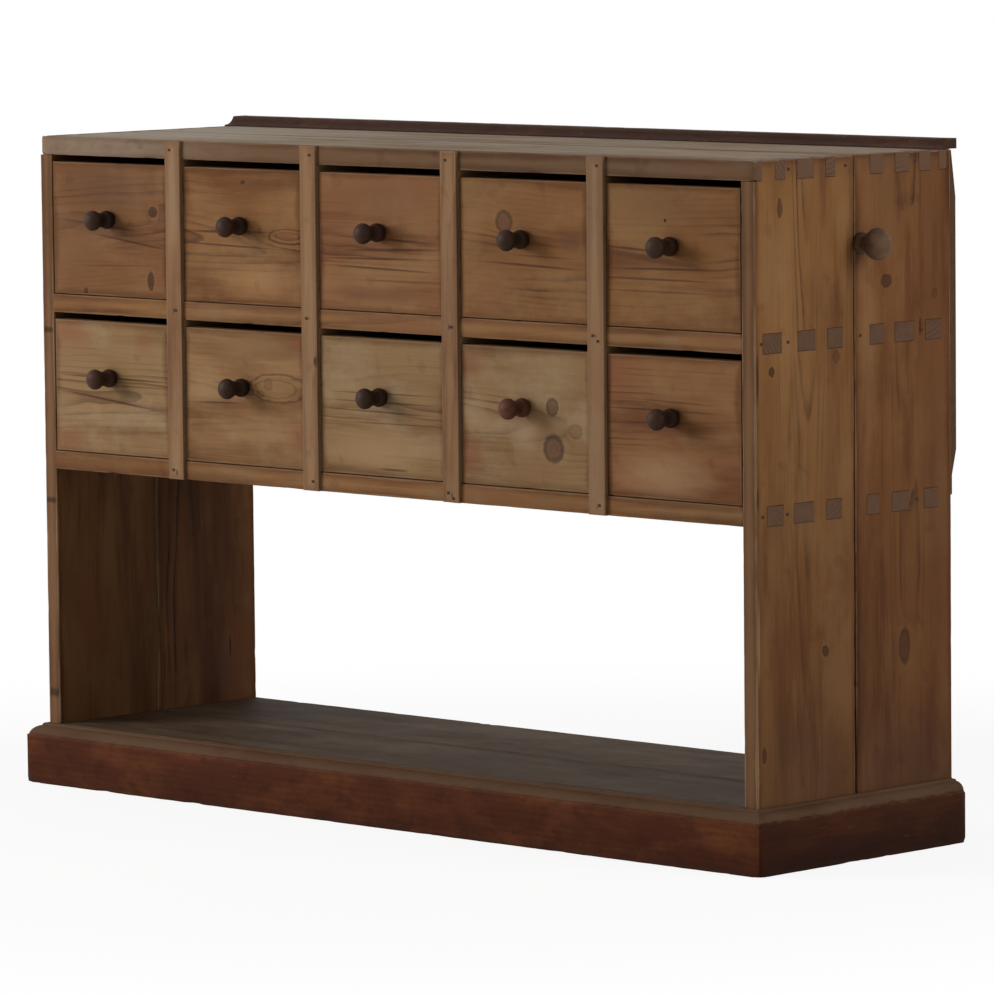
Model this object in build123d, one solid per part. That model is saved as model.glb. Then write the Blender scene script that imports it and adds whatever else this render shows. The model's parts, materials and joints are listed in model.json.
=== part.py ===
from build123d import *
from dataclasses import dataclass
from math import asin, cos, sin, sqrt
import os

# Seed storage cabinet in old pine: ten drawers in two rows of five over an open bay, on a plinth.
# Millimetres. X runs along the length (+X is the right-hand side), Y runs from the front to the
# back, Z is up. The origin is on the floor, in the middle of the carcass, under the floor bearer.

# ---------------------------------------------------------------- carcass
CARCASS_LENGTH = 1350.0
CARCASS_DEPTH = 388.0
CARCASS_HEIGHT = 920.0
SIDE_THICKNESS = 22.8
TOP_THICKNESS = 26.0
SHELF_THICKNESS = 26.0
DRAWER_ROW_HEIGHT = 196.5
ARRIS_RADIUS = 1.2
BOARD_SEAM = 0.5
SIDE_SEAM_TOP = 1.8
SIDE_SEAM_BOTTOM = 3.4
JOINT_CLEARANCE = 0.15
THROUGH_JOINT_GAP = 0.4
JOINT_PROUD = 0.4
TAIL_FLARE = 3.0

# Each joint is cut by eye: its place as a share of its board's width, and its own width.
TOP_TAILS = {
    "front": ((0.264, 18.5), (0.514, 32.0), (0.765, 18.5)),
    "rear": ((0.235, 26.0), (0.498, 28.0), (0.731, 22.0), (0.920, 15.0)),
}
TOP_CORNER_TAIL = 15.0
MIDDLE_TENONS = {
    "front": ((0.173, 36.5), (0.518, 34.0), (0.805, 30.0)),
    "rear": ((0.230, 28.0), (0.514, 38.0), (0.815, 31.0)),
}
DECK_TENONS = {
    "front": ((0.195, 31.5), (0.480, 38.5), (0.788, 30.0)),
    "rear": ((0.186, 25.0), (0.468, 33.5), (0.786, 27.0)),
}

# ---------------------------------------------------------------- drawer case
DRAWER_COLUMNS = 5
DIVIDER_THICKNESS = 28.0
DIVIDER_HOUSING = 5.0
STRIP_WIDTH = 30.0
STRIP_THICKNESS = 5.0
STRIP_ARRIS = 0.9
BACK_THICKNESS = 12.0
BACK_THIN_EDGE = 3.0
BACK_TOP_BEVEL = 62.0
BACK_BOTTOM_BEVEL = 34.0
BACK_END_INSET = 1.0
BACK_TOP_DROP = 1.5
BACK_BOARD_SEAM = 0.6
BACK_LIP = 26.0
BACK_FOOT_RISE = 13.0
BACK_BOARDS = ("upper", "middle", "lower")

# ---------------------------------------------------------------- rail along the rear of the top
UPSTAND_DEPTH = 40.5
UPSTAND_HEIGHT = 14.0
UPSTAND_OVERHANG = 13.5
UPSTAND_FOOT = 2.0
UPSTAND_TOP_WIDTH = 23.5
UPSTAND_NOSE = 2.5
UPSTAND_COVE_SAG = 3.0

# ---------------------------------------------------------------- floor and plinth
FLOOR_TOP = 84.8
FLOOR_THICKNESS = 21.0
FLOOR_HOUSING = 6.0
FLOOR_SEAM_FROM_FRONT = 187.0
BEARER_WIDTH = 45.0
REAR_RAIL_THICKNESS = 22.0
PLINTH_THICKNESS = 23.7
PLINTH_FACE_HEIGHT = 69.1
PLINTH_LIP = 7.3
PLINTH_LIP_ROUND = 3.4
PLINTH_ARRIS = 2.6
PLINTH_COVE_SAG = 2.8
PLINTH_CORNER_ROUND = 2.5

# ---------------------------------------------------------------- drawers
DRAWER_SIDE_GAP = 1.2
DRAWER_FRONT_TOP_GAP = 9.5
DRAWER_FRONT_THICKNESS = 20.0
DRAWER_FRONT_LIFT = 1.0
DRAWER_FRONT_RECESS = 0.8
DRAWER_FRONT_ARRIS = 1.3
DRAWER_REAR_SPACE = 21.2
DRAWER_WALL = 10.0
DRAWER_WALL_DROP = 20.7
DRAWER_RUN_GAP = 0.3
DRAWER_TAILS = 3
DRAWER_TAIL_WIDTH = 30.0
DRAWER_TAIL_FLARE = 3.0
DRAWER_LAP = 6.0
DRAWER_BOTTOM_THICKNESS = 7.0
DRAWER_BOTTOM_RISE = 7.0
DRAWER_GROOVE = 4.0
DRAWER_BACK_THICKNESS = 10.0
DRAWER_BACK_INSET = 14.0
DRAWER_BACK_DROP = 8.0
DRAWER_BACK_HOUSING = 3.0
# How far each column's drawers sit off centre, as a share of the side gap.
DRAWER_REST_SHIFTS = (0.2, -0.1, 0.15, 0.0, -0.6)
STOP_LENGTH = 30.0
STOP_WIDTH = 9.0
STOP_HEIGHT = 4.0
STOP_GAP = 0.3
STOP_INSET = 45.0

# ---------------------------------------------------------------- knobs
KNOB_HEIGHT = 107.5
KNOB_BORE_CLEARANCE = 0.05
KNOB_STEPS = 6
SIDE_KNOB_FROM_SEAM = 10.0
SIDE_KNOB_BELOW_TOP = 115.0

# ---------------------------------------------------------------- cut nails
NAIL_HEAD = (5.0, 3.8)
NAIL_HEAD_THICKNESS = 1.2
NAIL_HEAD_PROUD = 0.3
NAIL_SHANK = 2.4
NAIL_LENGTH = 36.0
NAIL_STAGGER = 4.5
NAIL_PAIR_DROP = 7.0
SIDE_NAIL_PLACES = {
    "top": (66.7, 177.7, 316.7),
    "middle": (12.0, 64.0, 206.0, 328.0),
    "deck": (13.0, 61.0, 318.0),
}
BACK_NAIL_COLUMNS = 5

# ---------------------------------------------------------------- worked out from the sizes above
LEFT, RIGHT = -CARCASS_LENGTH / 2, CARCASS_LENGTH / 2
FRONT, REAR = -CARCASS_DEPTH / 2, CARCASS_DEPTH / 2
INNER_RIGHT = RIGHT - SIDE_THICKNESS
INNER_LEFT = -INNER_RIGHT
INNER_LENGTH = INNER_RIGHT - INNER_LEFT
SEAM = 0.0
SIDE_KNOB_PLACE = (RIGHT, SEAM + SIDE_KNOB_FROM_SEAM, CARCASS_HEIGHT - SIDE_KNOB_BELOW_TOP)
TOP_Z = (CARCASS_HEIGHT - TOP_THICKNESS, CARCASS_HEIGHT)
MIDDLE_Z = (TOP_Z[0] - DRAWER_ROW_HEIGHT - SHELF_THICKNESS, TOP_Z[0] - DRAWER_ROW_HEIGHT)
DECK_Z = (MIDDLE_Z[0] - DRAWER_ROW_HEIGHT - SHELF_THICKNESS, MIDDLE_Z[0] - DRAWER_ROW_HEIGHT)
FLOOR_Z = (FLOOR_TOP - FLOOR_THICKNESS, FLOOR_TOP)
ROW_FLOORS = {"upper": MIDDLE_Z[1], "lower": DECK_Z[1]}
COLUMN_PITCH = (INNER_LENGTH + STRIP_WIDTH) / DRAWER_COLUMNS
FIRST_LINE = INNER_LEFT - STRIP_WIDTH / 2
DIVIDER_LINES = [FIRST_LINE + COLUMN_PITCH * number for number in range(1, DRAWER_COLUMNS)]
COLUMN_CENTRES = [FIRST_LINE + COLUMN_PITCH * (number + 0.5) for number in range(DRAWER_COLUMNS)]
DRAWER_WIDTH = COLUMN_PITCH - STRIP_WIDTH - 2 * DRAWER_SIDE_GAP
DRAWER_LENGTH = CARCASS_DEPTH - DRAWER_FRONT_RECESS - DRAWER_REAR_SPACE
BOARD_SPANS = {
    "front": (FRONT, SEAM - BOARD_SEAM / 2),
    "rear": (SEAM + BOARD_SEAM / 2, REAR),
}
SHELVES = {"middle": (MIDDLE_Z, MIDDLE_TENONS), "deck": (DECK_Z, DECK_TENONS)}


@dataclass(frozen=True)
class KnobShape:
    """A turned knob: a ball on a bead, along its own axis from the face that it sits on."""

    ball_radius: float
    ball_half: float
    ball_centre: float
    bead_radius: float
    bead_half: float
    bead_centre: float
    waist_radius: float
    spigot_radius: float
    spigot_length: float


DRAWER_KNOB = KnobShape(14.2, 11.5, 33.5, 12.9, 11.5, 7.0, 10.2, 6.0, 15.0)
SIDE_KNOB = KnobShape(21.0, 16.0, 32.0, 14.5, 9.0, 4.5, 10.0, 6.0, 16.0)


def block(x_range, y_range, z_range):
    """A plain board between three pairs of limits."""
    ranges = (x_range, y_range, z_range)
    middle = [(low + high) / 2 for low, high in ranges]
    sizes = [high - low for low, high in ranges]
    return Pos(*middle) * Box(*sizes)


def grown(span, clearance):
    """A pair of limits moved apart by a clearance at each end."""
    return (span[0] - clearance, span[1] + clearance)


def soften(board, axis, radius=ARRIS_RADIUS):
    """Round the edges of a board that run along one axis."""
    return fillet(board.edges().filter_by(axis), radius)


def prism_x(points, x_range):
    """Extrude an outline of (y, z) points along X."""
    face = Plane.YZ * make_face(Polyline(*points, close=True))
    return Pos(x_range[0], 0, 0) * extrude(face, x_range[1] - x_range[0])


def prism_z(points, z_range):
    """Extrude an outline of (x, y) points upwards."""
    face = make_face(Polyline(*points, close=True))
    return Pos(0, 0, z_range[0]) * extrude(face, z_range[1] - z_range[0])


def place_spans(places, board_span):
    """The limits across a board of each joint in a list of (share, width)."""
    width = board_span[1] - board_span[0]
    centres = [(board_span[0] + share * width, size) for share, size in places]
    return [(centre - size / 2, centre + size / 2) for centre, size in centres]


# ---------------------------------------------------------------- joints of the carcass
def tenon_cutters(shelf, part, side_sign, clearance=0.0):
    """The tenons at one end of a shelf board, as solids through the side."""
    z_range, tenons = SHELVES[shelf]
    ends = sorted((side_sign * INNER_RIGHT, side_sign * (RIGHT + JOINT_PROUD)))
    spans = place_spans(tenons[part], BOARD_SPANS[part])
    return [block(ends, grown(span, clearance), grown(z_range, clearance)) for span in spans]


def tail_cutters(part, side_sign, clearance=0.0):
    """The dovetail tails at one end of a top board, wider at the outer face."""
    inner_x = side_sign * INNER_RIGHT
    outer_x = side_sign * (RIGHT + JOINT_PROUD)
    tails = []
    for low, high in place_spans(TOP_TAILS[part], BOARD_SPANS[part]):
        low, high = grown((low, high), clearance)
        root = (low + TAIL_FLARE, high - TAIL_FLARE)
        outline = [(inner_x, root[0]), (outer_x, low), (outer_x, high), (inner_x, root[1])]
        tails.append(prism_z(outline, grown(TOP_Z, clearance)))
    if part == "front":
        high = FRONT + TOP_CORNER_TAIL + clearance
        low = FRONT - clearance
        outline = [(inner_x, low), (outer_x, low), (outer_x, high), (inner_x, high - TAIL_FLARE)]
        tails.append(prism_z(outline, grown(TOP_Z, clearance)))
    return tails


def side_board(part, side_sign):
    """One upright board of a side, cut for the tenons, the tails and the floor.

    The right side's seam has opened, more at the foot than at the top. The left side's is tight.
    """
    half_top, half_bottom = BOARD_SEAM / 2, BOARD_SEAM / 2
    if side_sign > 0:
        half_top, half_bottom = SIDE_SEAM_TOP / 2, SIDE_SEAM_BOTTOM / 2
    if part == "front":
        outline = [(FRONT, 0), (SEAM - half_bottom, 0)]
        outline += [(SEAM - half_top, CARCASS_HEIGHT), (FRONT, CARCASS_HEIGHT)]
    else:
        outline = [(SEAM + half_bottom, 0), (REAR, 0)]
        outline += [(REAR, CARCASS_HEIGHT), (SEAM + half_top, CARCASS_HEIGHT)]
    ends = sorted((side_sign * INNER_RIGHT, side_sign * RIGHT))
    board = prism_x(outline, ends)
    upright = [edge for edge in board.edges() if abs(edge.tangent_at(0.5).Z) > 0.9]
    board = fillet(upright, ARRIS_RADIUS)
    for shelf in SHELVES:
        board -= tenon_cutters(shelf, part, side_sign, THROUGH_JOINT_GAP)
    board -= tail_cutters(part, side_sign, THROUGH_JOINT_GAP)
    housing_end = side_sign * (INNER_RIGHT + FLOOR_HOUSING)
    housing_x = sorted((side_sign * INNER_RIGHT, housing_end))
    board -= block(housing_x, (FRONT, REAR), grown(FLOOR_Z, JOINT_CLEARANCE))
    if side_sign > 0 and part == "rear":
        bore_radius = SIDE_KNOB.spigot_radius + KNOB_BORE_CLEARANCE
        bore_depth = SIDE_KNOB.spigot_length + KNOB_BORE_CLEARANCE
        bore = Cylinder(bore_radius, bore_depth, align=(Align.CENTER, Align.CENTER, Align.MIN))
        board -= Pos(*SIDE_KNOB_PLACE) * Rot(0, -90, 0) * bore
    return board


def divider_housings(z_face, upwards):
    """The grooves that hold the dividers' ends, cut up or down from a shelf's face."""
    depth = DIVIDER_HOUSING + JOINT_CLEARANCE
    z_range = (z_face, z_face + depth) if upwards else (z_face - depth, z_face)
    half = DIVIDER_THICKNESS / 2 + JOINT_CLEARANCE
    return [block((x - half, x + half), (FRONT, REAR), z_range) for x in DIVIDER_LINES]


def top_board(part):
    """One board of the top, with its tails and the dividers' housings below."""
    board = soften(block((INNER_LEFT, INNER_RIGHT), BOARD_SPANS[part], TOP_Z), Axis.X)
    board += tail_cutters(part, -1) + tail_cutters(part, 1)
    return board - divider_housings(TOP_Z[0], True)


def shelf_board(shelf, part):
    """One board of the middle shelf or of the drawer deck, with its through tenons."""
    z_range = SHELVES[shelf][0]
    board = soften(block((INNER_LEFT, INNER_RIGHT), BOARD_SPANS[part], z_range), Axis.X)
    board += tenon_cutters(shelf, part, -1) + tenon_cutters(shelf, part, 1)
    board -= divider_housings(z_range[1], False)
    if shelf == "middle":
        board -= divider_housings(z_range[0], True)
    return board


def dividers():
    """The upright boards between the drawers, four in each row."""
    boards = []
    for floor_z in ROW_FLOORS.values():
        z_range = grown((floor_z, floor_z + DRAWER_ROW_HEIGHT), DIVIDER_HOUSING)
        for x in DIVIDER_LINES:
            x_range = (x - DIVIDER_THICKNESS / 2, x + DIVIDER_THICKNESS / 2)
            boards.append(block(x_range, (FRONT, REAR), z_range))
    return boards


def divider_strip(x):
    """A cover strip on the front, from the top surface to the deck's lower face."""
    x_range = (x - STRIP_WIDTH / 2, x + STRIP_WIDTH / 2)
    strip = block(x_range, (FRONT - STRIP_THICKNESS, FRONT), (DECK_Z[0], CARCASS_HEIGHT))
    front_edges = strip.edges().filter_by(Axis.Z).group_by(Axis.Y)[0]
    return fillet(front_edges, STRIP_ARRIS)


# ---------------------------------------------------------------- back boards
BACK_RANGE = (DECK_Z[0] + BACK_FOOT_RISE, CARCASS_HEIGHT - BACK_TOP_DROP)
BACK_BOARD_HEIGHT = (BACK_RANGE[1] - BACK_RANGE[0]) / len(BACK_BOARDS)


def back_board(index):
    """A board across the back. The top one and the lowest one are bevelled to a thin edge."""
    top = BACK_RANGE[1] - BACK_BOARD_HEIGHT * index
    bottom = top - BACK_BOARD_HEIGHT + BACK_BOARD_SEAM
    outer = REAR + BACK_THICKNESS
    thin = REAR + BACK_THIN_EDGE
    outline = [(REAR, bottom)]
    if index == len(BACK_BOARDS) - 1:
        outline += [(thin, bottom), (thin, bottom + BACK_LIP)]
        outline += [(outer, bottom + BACK_LIP + BACK_BOTTOM_BEVEL)]
    else:
        outline += [(outer, bottom)]
    if index == 0:
        outline += [(outer, top - BACK_TOP_BEVEL), (thin, top)]
    else:
        outline += [(outer, top)]
    outline += [(REAR, top)]
    return prism_x(outline, (LEFT + BACK_END_INSET, RIGHT - BACK_END_INSET))


def top_upstand():
    """The rail along the rear of the top: a cove rises from a thin foot to a round nose."""
    rear = REAR + UPSTAND_OVERHANG
    front = rear - UPSTAND_DEPTH
    base, crest = CARCASS_HEIGHT, CARCASS_HEIGHT + UPSTAND_HEIGHT
    nose = rear - UPSTAND_TOP_WIDTH
    nose_start = (nose, crest - UPSTAND_NOSE)
    outline = [
        Line((front, base), (front, base + UPSTAND_FOOT)),
        SagittaArc((front, base + UPSTAND_FOOT), nose_start, -UPSTAND_COVE_SAG),
        RadiusArc(nose_start, (nose + UPSTAND_NOSE, crest), UPSTAND_NOSE),
        Polyline((nose + UPSTAND_NOSE, crest), (rear, crest), (rear, base), (front, base)),
    ]
    profile = Plane.YZ * make_face(outline)
    rail = extrude(profile, CARCASS_LENGTH)
    return Pos(LEFT, 0, 0) * rail


# ---------------------------------------------------------------- floor and plinth
def floor_board(part):
    """One board of the bay's floor, housed in the sides."""
    seam = FRONT + FLOOR_SEAM_FROM_FRONT
    span = (FRONT, seam - BOARD_SEAM) if part == "front" else (seam + BOARD_SEAM, REAR)
    reach = INNER_RIGHT + FLOOR_HOUSING - JOINT_CLEARANCE
    return soften(block((-reach, reach), span, FLOOR_Z), Axis.X)


def floor_rear_rail():
    """The rail under the floor's rear edge, which stands on the ground."""
    return block((INNER_LEFT, INNER_RIGHT), (REAR - REAR_RAIL_THICKNESS, REAR), (0, FLOOR_Z[0]))


def floor_bearer():
    """The batten under the middle of the floor, from the plinth to the rear rail."""
    half = BEARER_WIDTH / 2
    return block((-half, half), (FRONT, REAR - REAR_RAIL_THICKNESS), (0, FLOOR_Z[0]))


def plinth_moulding(length):
    """A plinth board along X, its inner face on Y = 0, its face towards -Y and a cove on top."""
    face = -PLINTH_THICKNESS
    lip = -PLINTH_LIP
    lip_top = (lip + PLINTH_LIP_ROUND, FLOOR_TOP)
    lip_end = (lip, FLOOR_TOP - PLINTH_LIP_ROUND)
    arris_start = (face + PLINTH_ARRIS, PLINTH_FACE_HEIGHT)
    arris_end = (face, PLINTH_FACE_HEIGHT - PLINTH_ARRIS)
    outline = [
        Polyline((0, FLOOR_TOP), (0, 0), (face, 0), arris_end),
        RadiusArc(arris_end, arris_start, PLINTH_ARRIS),
        SagittaArc(arris_start, lip_end, PLINTH_COVE_SAG),
        RadiusArc(lip_end, lip_top, PLINTH_LIP_ROUND),
        Line(lip_top, (0, FLOOR_TOP)),
    ]
    profile = Plane.YZ * make_face(outline)
    return Pos(-length / 2, 0, 0) * extrude(profile, length)


def plinth_board(place):
    """One plinth board with mitred front corners: front, left or right."""
    out = PLINTH_THICKNESS
    long = 2 * (CARCASS_LENGTH + CARCASS_DEPTH)
    height = (-FLOOR_TOP, 2 * FLOOR_TOP)
    if place == "front":
        board = Pos(0, FRONT, 0) * plinth_moulding(long)
        plan = [(LEFT - out, FRONT - out), (RIGHT + out, FRONT - out), (RIGHT, FRONT), (LEFT, FRONT)]
        return round_corners(board & prism_z(plan, height))
    sign = 1 if place == "right" else -1
    board = Pos(sign * RIGHT, 0, 0) * Rot(0, 0, sign * 90) * plinth_moulding(long)
    corners = [(RIGHT, FRONT), (RIGHT + out, FRONT - out), (RIGHT + out, REAR), (RIGHT, REAR)]
    plan = [(sign * x, y) for x, y in corners]
    return round_corners(board & prism_z(plan, height))


def round_corners(board):
    """Round the plinth's front corners, both halves of the mitre about one upright axis."""
    reach = PLINTH_THICKNESS
    length = RIGHT + reach
    front = FRONT - reach
    radius = PLINTH_CORNER_ROUND
    for sign in (-1, 1):
        centre = (sign * (length - radius), front + radius)
        corner_x = sorted((centre[0], sign * (length + radius)))
        corner = block(corner_x, (front - radius, centre[1]), (-FLOOR_TOP, 2 * FLOOR_TOP))
        board -= corner - Pos(*centre, 0) * Cylinder(radius, 4 * FLOOR_TOP)
    return board


# ---------------------------------------------------------------- turned knobs
def turned_knob(shape):
    """A knob turned about Z: the spigot below Z = 0, then the bead, the waist and the ball."""
    def reach(radius, half):
        """How far from a swelling's centre, along the axis, the waist's radius is met."""
        return half * sqrt(1 - (shape.waist_radius / radius) ** 2)

    def swell(radius, half, centre, start, end):
        """An elliptical stretch of the profile between two heights."""
        first, last = [asin((height - centre) / half) for height in (start, end)]
        angles = [first + (last - first) * step / KNOB_STEPS for step in range(KNOB_STEPS + 1)]
        points = [(radius * cos(angle), centre + half * sin(angle)) for angle in angles]
        tangents = [(-radius * sin(angle), half * cos(angle)) for angle in (first, last)]
        return Spline(*points, tangents=tangents)

    bead_end = shape.bead_centre + reach(shape.bead_radius, shape.bead_half)
    ball_start = shape.ball_centre - reach(shape.ball_radius, shape.ball_half)
    tip = shape.ball_centre + shape.ball_half
    bead = swell(shape.bead_radius, shape.bead_half, shape.bead_centre, 0, bead_end)
    ball = swell(shape.ball_radius, shape.ball_half, shape.ball_centre, ball_start, tip)
    spigot = shape.spigot_radius
    foot = -shape.spigot_length
    outline = [
        Polyline((0, tip), (0, foot), (spigot, foot), (spigot, 0), bead @ 0),
        bead,
        Line(bead @ 1, ball @ 0),
        ball,
    ]
    return revolve(Plane.XZ * make_face(outline), Axis.Z)


def side_knob():
    """The large knob on the right side, its spigot in the rear board."""
    return Pos(*SIDE_KNOB_PLACE) * Rot(0, 90, 0) * turned_knob(SIDE_KNOB)


# ---------------------------------------------------------------- one drawer, at its own place
# In these functions X = 0 is the drawer's middle, Y = 0 its front face and Z = 0 the shelf.
HALF_WIDTH = DRAWER_WIDTH / 2
WALL_INNER = HALF_WIDTH - DRAWER_WALL
FRONT_Z = (DRAWER_FRONT_LIFT, DRAWER_ROW_HEIGHT - DRAWER_FRONT_TOP_GAP)
WALL_Z = (DRAWER_RUN_GAP, FRONT_Z[1] - DRAWER_WALL_DROP)
BOTTOM_Z = (DRAWER_BOTTOM_RISE, DRAWER_BOTTOM_RISE + DRAWER_BOTTOM_THICKNESS)
BACK_Y = (
    DRAWER_LENGTH - DRAWER_BACK_INSET - DRAWER_BACK_THICKNESS,
    DRAWER_LENGTH - DRAWER_BACK_INSET,
)
GROOVE_DEPTH_FRONT = DRAWER_FRONT_THICKNESS - DRAWER_GROOVE


def drawer_tails(side_sign, clearance=0.0):
    """The lapped dovetails at the front end of a drawer's side."""
    shoulder = DRAWER_FRONT_THICKNESS
    end = DRAWER_LAP - clearance
    pitch = (WALL_Z[1] - WALL_Z[0]) / DRAWER_TAILS
    x_range = sorted((side_sign * (WALL_INNER - clearance), side_sign * HALF_WIDTH))
    tails = []
    for number in range(DRAWER_TAILS):
        centre = WALL_Z[0] + pitch * (number + 0.5)
        wide = DRAWER_TAIL_WIDTH / 2 + clearance
        root = wide - DRAWER_TAIL_FLARE
        outline = [(shoulder, centre - root), (end, centre - wide)]
        outline += [(end, centre + wide), (shoulder, centre + root)]
        tails.append(prism_x(outline, x_range))
    return tails


def drawer_wall(side_sign):
    """A side of a drawer: tails in front, a groove for the bottom and a housing for the back."""
    x_range = sorted((side_sign * WALL_INNER, side_sign * HALF_WIDTH))
    wall = block(x_range, (DRAWER_FRONT_THICKNESS, DRAWER_LENGTH), WALL_Z)
    wall += drawer_tails(side_sign)
    groove_x = sorted((side_sign * WALL_INNER, side_sign * (WALL_INNER + DRAWER_GROOVE)))
    wall -= block(groove_x, (0, DRAWER_LENGTH), grown(BOTTOM_Z, JOINT_CLEARANCE))
    housing_x = sorted((side_sign * WALL_INNER, side_sign * (WALL_INNER + DRAWER_BACK_HOUSING)))
    housing_z = (BOTTOM_Z[1], WALL_Z[1] - DRAWER_BACK_DROP + JOINT_CLEARANCE)
    return wall - block(housing_x, grown(BACK_Y, JOINT_CLEARANCE), housing_z)


def drawer_bottom():
    """The bottom board, held in the grooves of the sides and of the front."""
    reach = WALL_INNER + DRAWER_GROOVE - JOINT_CLEARANCE
    y_range = (GROOVE_DEPTH_FRONT + JOINT_CLEARANCE, DRAWER_LENGTH)
    return block((-reach, reach), y_range, BOTTOM_Z)


def drawer_back():
    """The back, which stands on the bottom board between the sides."""
    reach = WALL_INNER + DRAWER_BACK_HOUSING - JOINT_CLEARANCE
    return block((-reach, reach), BACK_Y, (BOTTOM_Z[1], WALL_Z[1] - DRAWER_BACK_DROP))


def drawer_front():
    """The front board, with sockets for the sides' tails and a bore for the knob."""
    board = block((-HALF_WIDTH, HALF_WIDTH), (0, DRAWER_FRONT_THICKNESS), FRONT_Z)
    board = fillet(board.faces().sort_by(Axis.Y)[0].edges(), DRAWER_FRONT_ARRIS)
    for side_sign in (-1, 1):
        board -= drawer_tails(side_sign, JOINT_CLEARANCE)
    reach = WALL_INNER + DRAWER_GROOVE
    groove_y = (GROOVE_DEPTH_FRONT, DRAWER_FRONT_THICKNESS)
    board -= block((-reach, reach), groove_y, grown(BOTTOM_Z, JOINT_CLEARANCE))
    bore_radius = DRAWER_KNOB.spigot_radius + KNOB_BORE_CLEARANCE
    bore_depth = DRAWER_KNOB.spigot_length + KNOB_BORE_CLEARANCE
    bore = Cylinder(bore_radius, bore_depth, align=(Align.CENTER, Align.CENTER, Align.MIN))
    return board - Pos(0, 0, FRONT_Z[0] + KNOB_HEIGHT) * Rot(-90, 0, 0) * bore


def drawer_knob():
    """The knob on a drawer's front."""
    return Pos(0, 0, FRONT_Z[0] + KNOB_HEIGHT) * Rot(90, 0, 0) * turned_knob(DRAWER_KNOB)


def drawer_stops():
    """Two stops for each drawer, glued to its shelf close behind the front."""
    stops = []
    y_low = FRONT + DRAWER_FRONT_RECESS + DRAWER_FRONT_THICKNESS + STOP_GAP
    for floor_z in ROW_FLOORS.values():
        for centre in COLUMN_CENTRES:
            for side_sign in (-1, 1):
                x = centre + side_sign * (HALF_WIDTH - STOP_INSET)
                x_range = (x - STOP_LENGTH / 2, x + STOP_LENGTH / 2)
                z_range = (floor_z, floor_z + STOP_HEIGHT)
                stops.append(block(x_range, (y_low, y_low + STOP_WIDTH), z_range))
    return stops


# ---------------------------------------------------------------- cut nails
def cut_nail():
    """A nail along -Z, its head's underside on Z = 0."""
    head = block(*[(-size / 2, size / 2) for size in NAIL_HEAD], (0, NAIL_HEAD_THICKNESS))
    half = NAIL_SHANK / 2
    return head + block((-half, half), (-half, half), (-NAIL_LENGTH, 0))


def strip_nail_places():
    """Where the strips are nailed to the top, the middle shelf and the deck, as (x, z)."""
    places = []
    levels = [sum(z_range) / 2 for z_range in (TOP_Z, MIDDLE_Z, DECK_Z)]
    for line, x in enumerate(DIVIDER_LINES):
        for level, z in enumerate(levels):
            stagger = NAIL_STAGGER if (line + level) % 2 else -NAIL_STAGGER
            places.append((x + stagger, z))
            if level and line == len(DIVIDER_LINES) - level:
                places.append((x - stagger, z - NAIL_PAIR_DROP))
    return places


def cut_nails():
    """Every nail: in the strips, in the ends of the shelves and in the back boards."""
    nail = cut_nail()
    sink = NAIL_HEAD_THICKNESS - NAIL_HEAD_PROUD
    nails = []
    for x, z in strip_nail_places():
        nails.append(Pos(x, FRONT - STRIP_THICKNESS + sink, z) * Rot(90, 0, 0) * nail)
    side_levels = {"top": TOP_Z, "middle": MIDDLE_Z, "deck": DECK_Z}
    for level, z_range in side_levels.items():
        for from_front in SIDE_NAIL_PLACES[level]:
            for side_sign in (-1, 1):
                x = side_sign * (RIGHT - sink)
                turn = Rot(0, side_sign * 90, 0) * Rot(0, 0, 90)
                nails.append(Pos(x, FRONT + from_front, sum(z_range) / 2) * turn * nail)
    columns = range(BACK_NAIL_COLUMNS)
    reach = INNER_LENGTH / 2
    for level, z_range in side_levels.items():
        z = sum(z_range) / 2
        depth = BACK_THICKNESS if level == "middle" else BACK_THIN_EDGE
        for column in columns:
            x = reach * (2 * (column + 0.5) / BACK_NAIL_COLUMNS - 1)
            nails.append(Pos(x, REAR + depth - sink, z) * Rot(-90, 0, 0) * nail)
    return nails


# ---------------------------------------------------------------- export
def pieces():
    """Every node's name and its solids."""
    for name, sign in (("left", -1), ("right", 1)):
        for part in BOARD_SPANS:
            yield f"side_{name}_{part}_board", [side_board(part, sign)]
    for part in BOARD_SPANS:
        yield f"top_{part}_board", [top_board(part)]
        yield f"middle_shelf_{part}_board", [shelf_board("middle", part)]
        yield f"drawer_deck_{part}_board", [shelf_board("deck", part)]
        yield f"floor_{part}_board", [floor_board(part)]
    yield "floor_bearer", [floor_bearer()]
    yield "floor_rear_rail", [floor_rear_rail()]
    for place in ("front", "left", "right"):
        yield f"plinth_{place}", [plinth_board(place)]
    yield "top_upstand", [top_upstand()]
    for index, name in enumerate(BACK_BOARDS):
        yield f"back_{name}_board", [back_board(index)]
    yield "dividers", dividers()
    for number, x in enumerate(DIVIDER_LINES, start=1):
        yield f"divider_strip_{number}", [divider_strip(x)]
    yield "drawer_stops", drawer_stops()
    yield "cut_nails", cut_nails()
    yield "side_knob", [side_knob()]
    drawer_parts = {
        "front": [drawer_front()],
        "box": [drawer_wall(-1), drawer_wall(1), drawer_back(), drawer_bottom()],
        "knob": [drawer_knob()],
    }
    for row, floor_z in ROW_FLOORS.items():
        for column, centre in enumerate(COLUMN_CENTRES):
            x = centre + DRAWER_REST_SHIFTS[column] * DRAWER_SIDE_GAP
            place = Pos(x, FRONT + DRAWER_FRONT_RECESS, floor_z)
            for part, solids in drawer_parts.items():
                yield f"drawer_{row}_{column + 1}_{part}", [place * solid for solid in solids]


def main():
    """Write one STEP file for each node."""
    os.makedirs("parts", exist_ok=True)
    for name, solids in pieces():
        shape = solids[0] if len(solids) == 1 else Compound(children=solids)
        shape.label = name
        export_step(shape, f"parts/{name}.step")


main()
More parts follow.
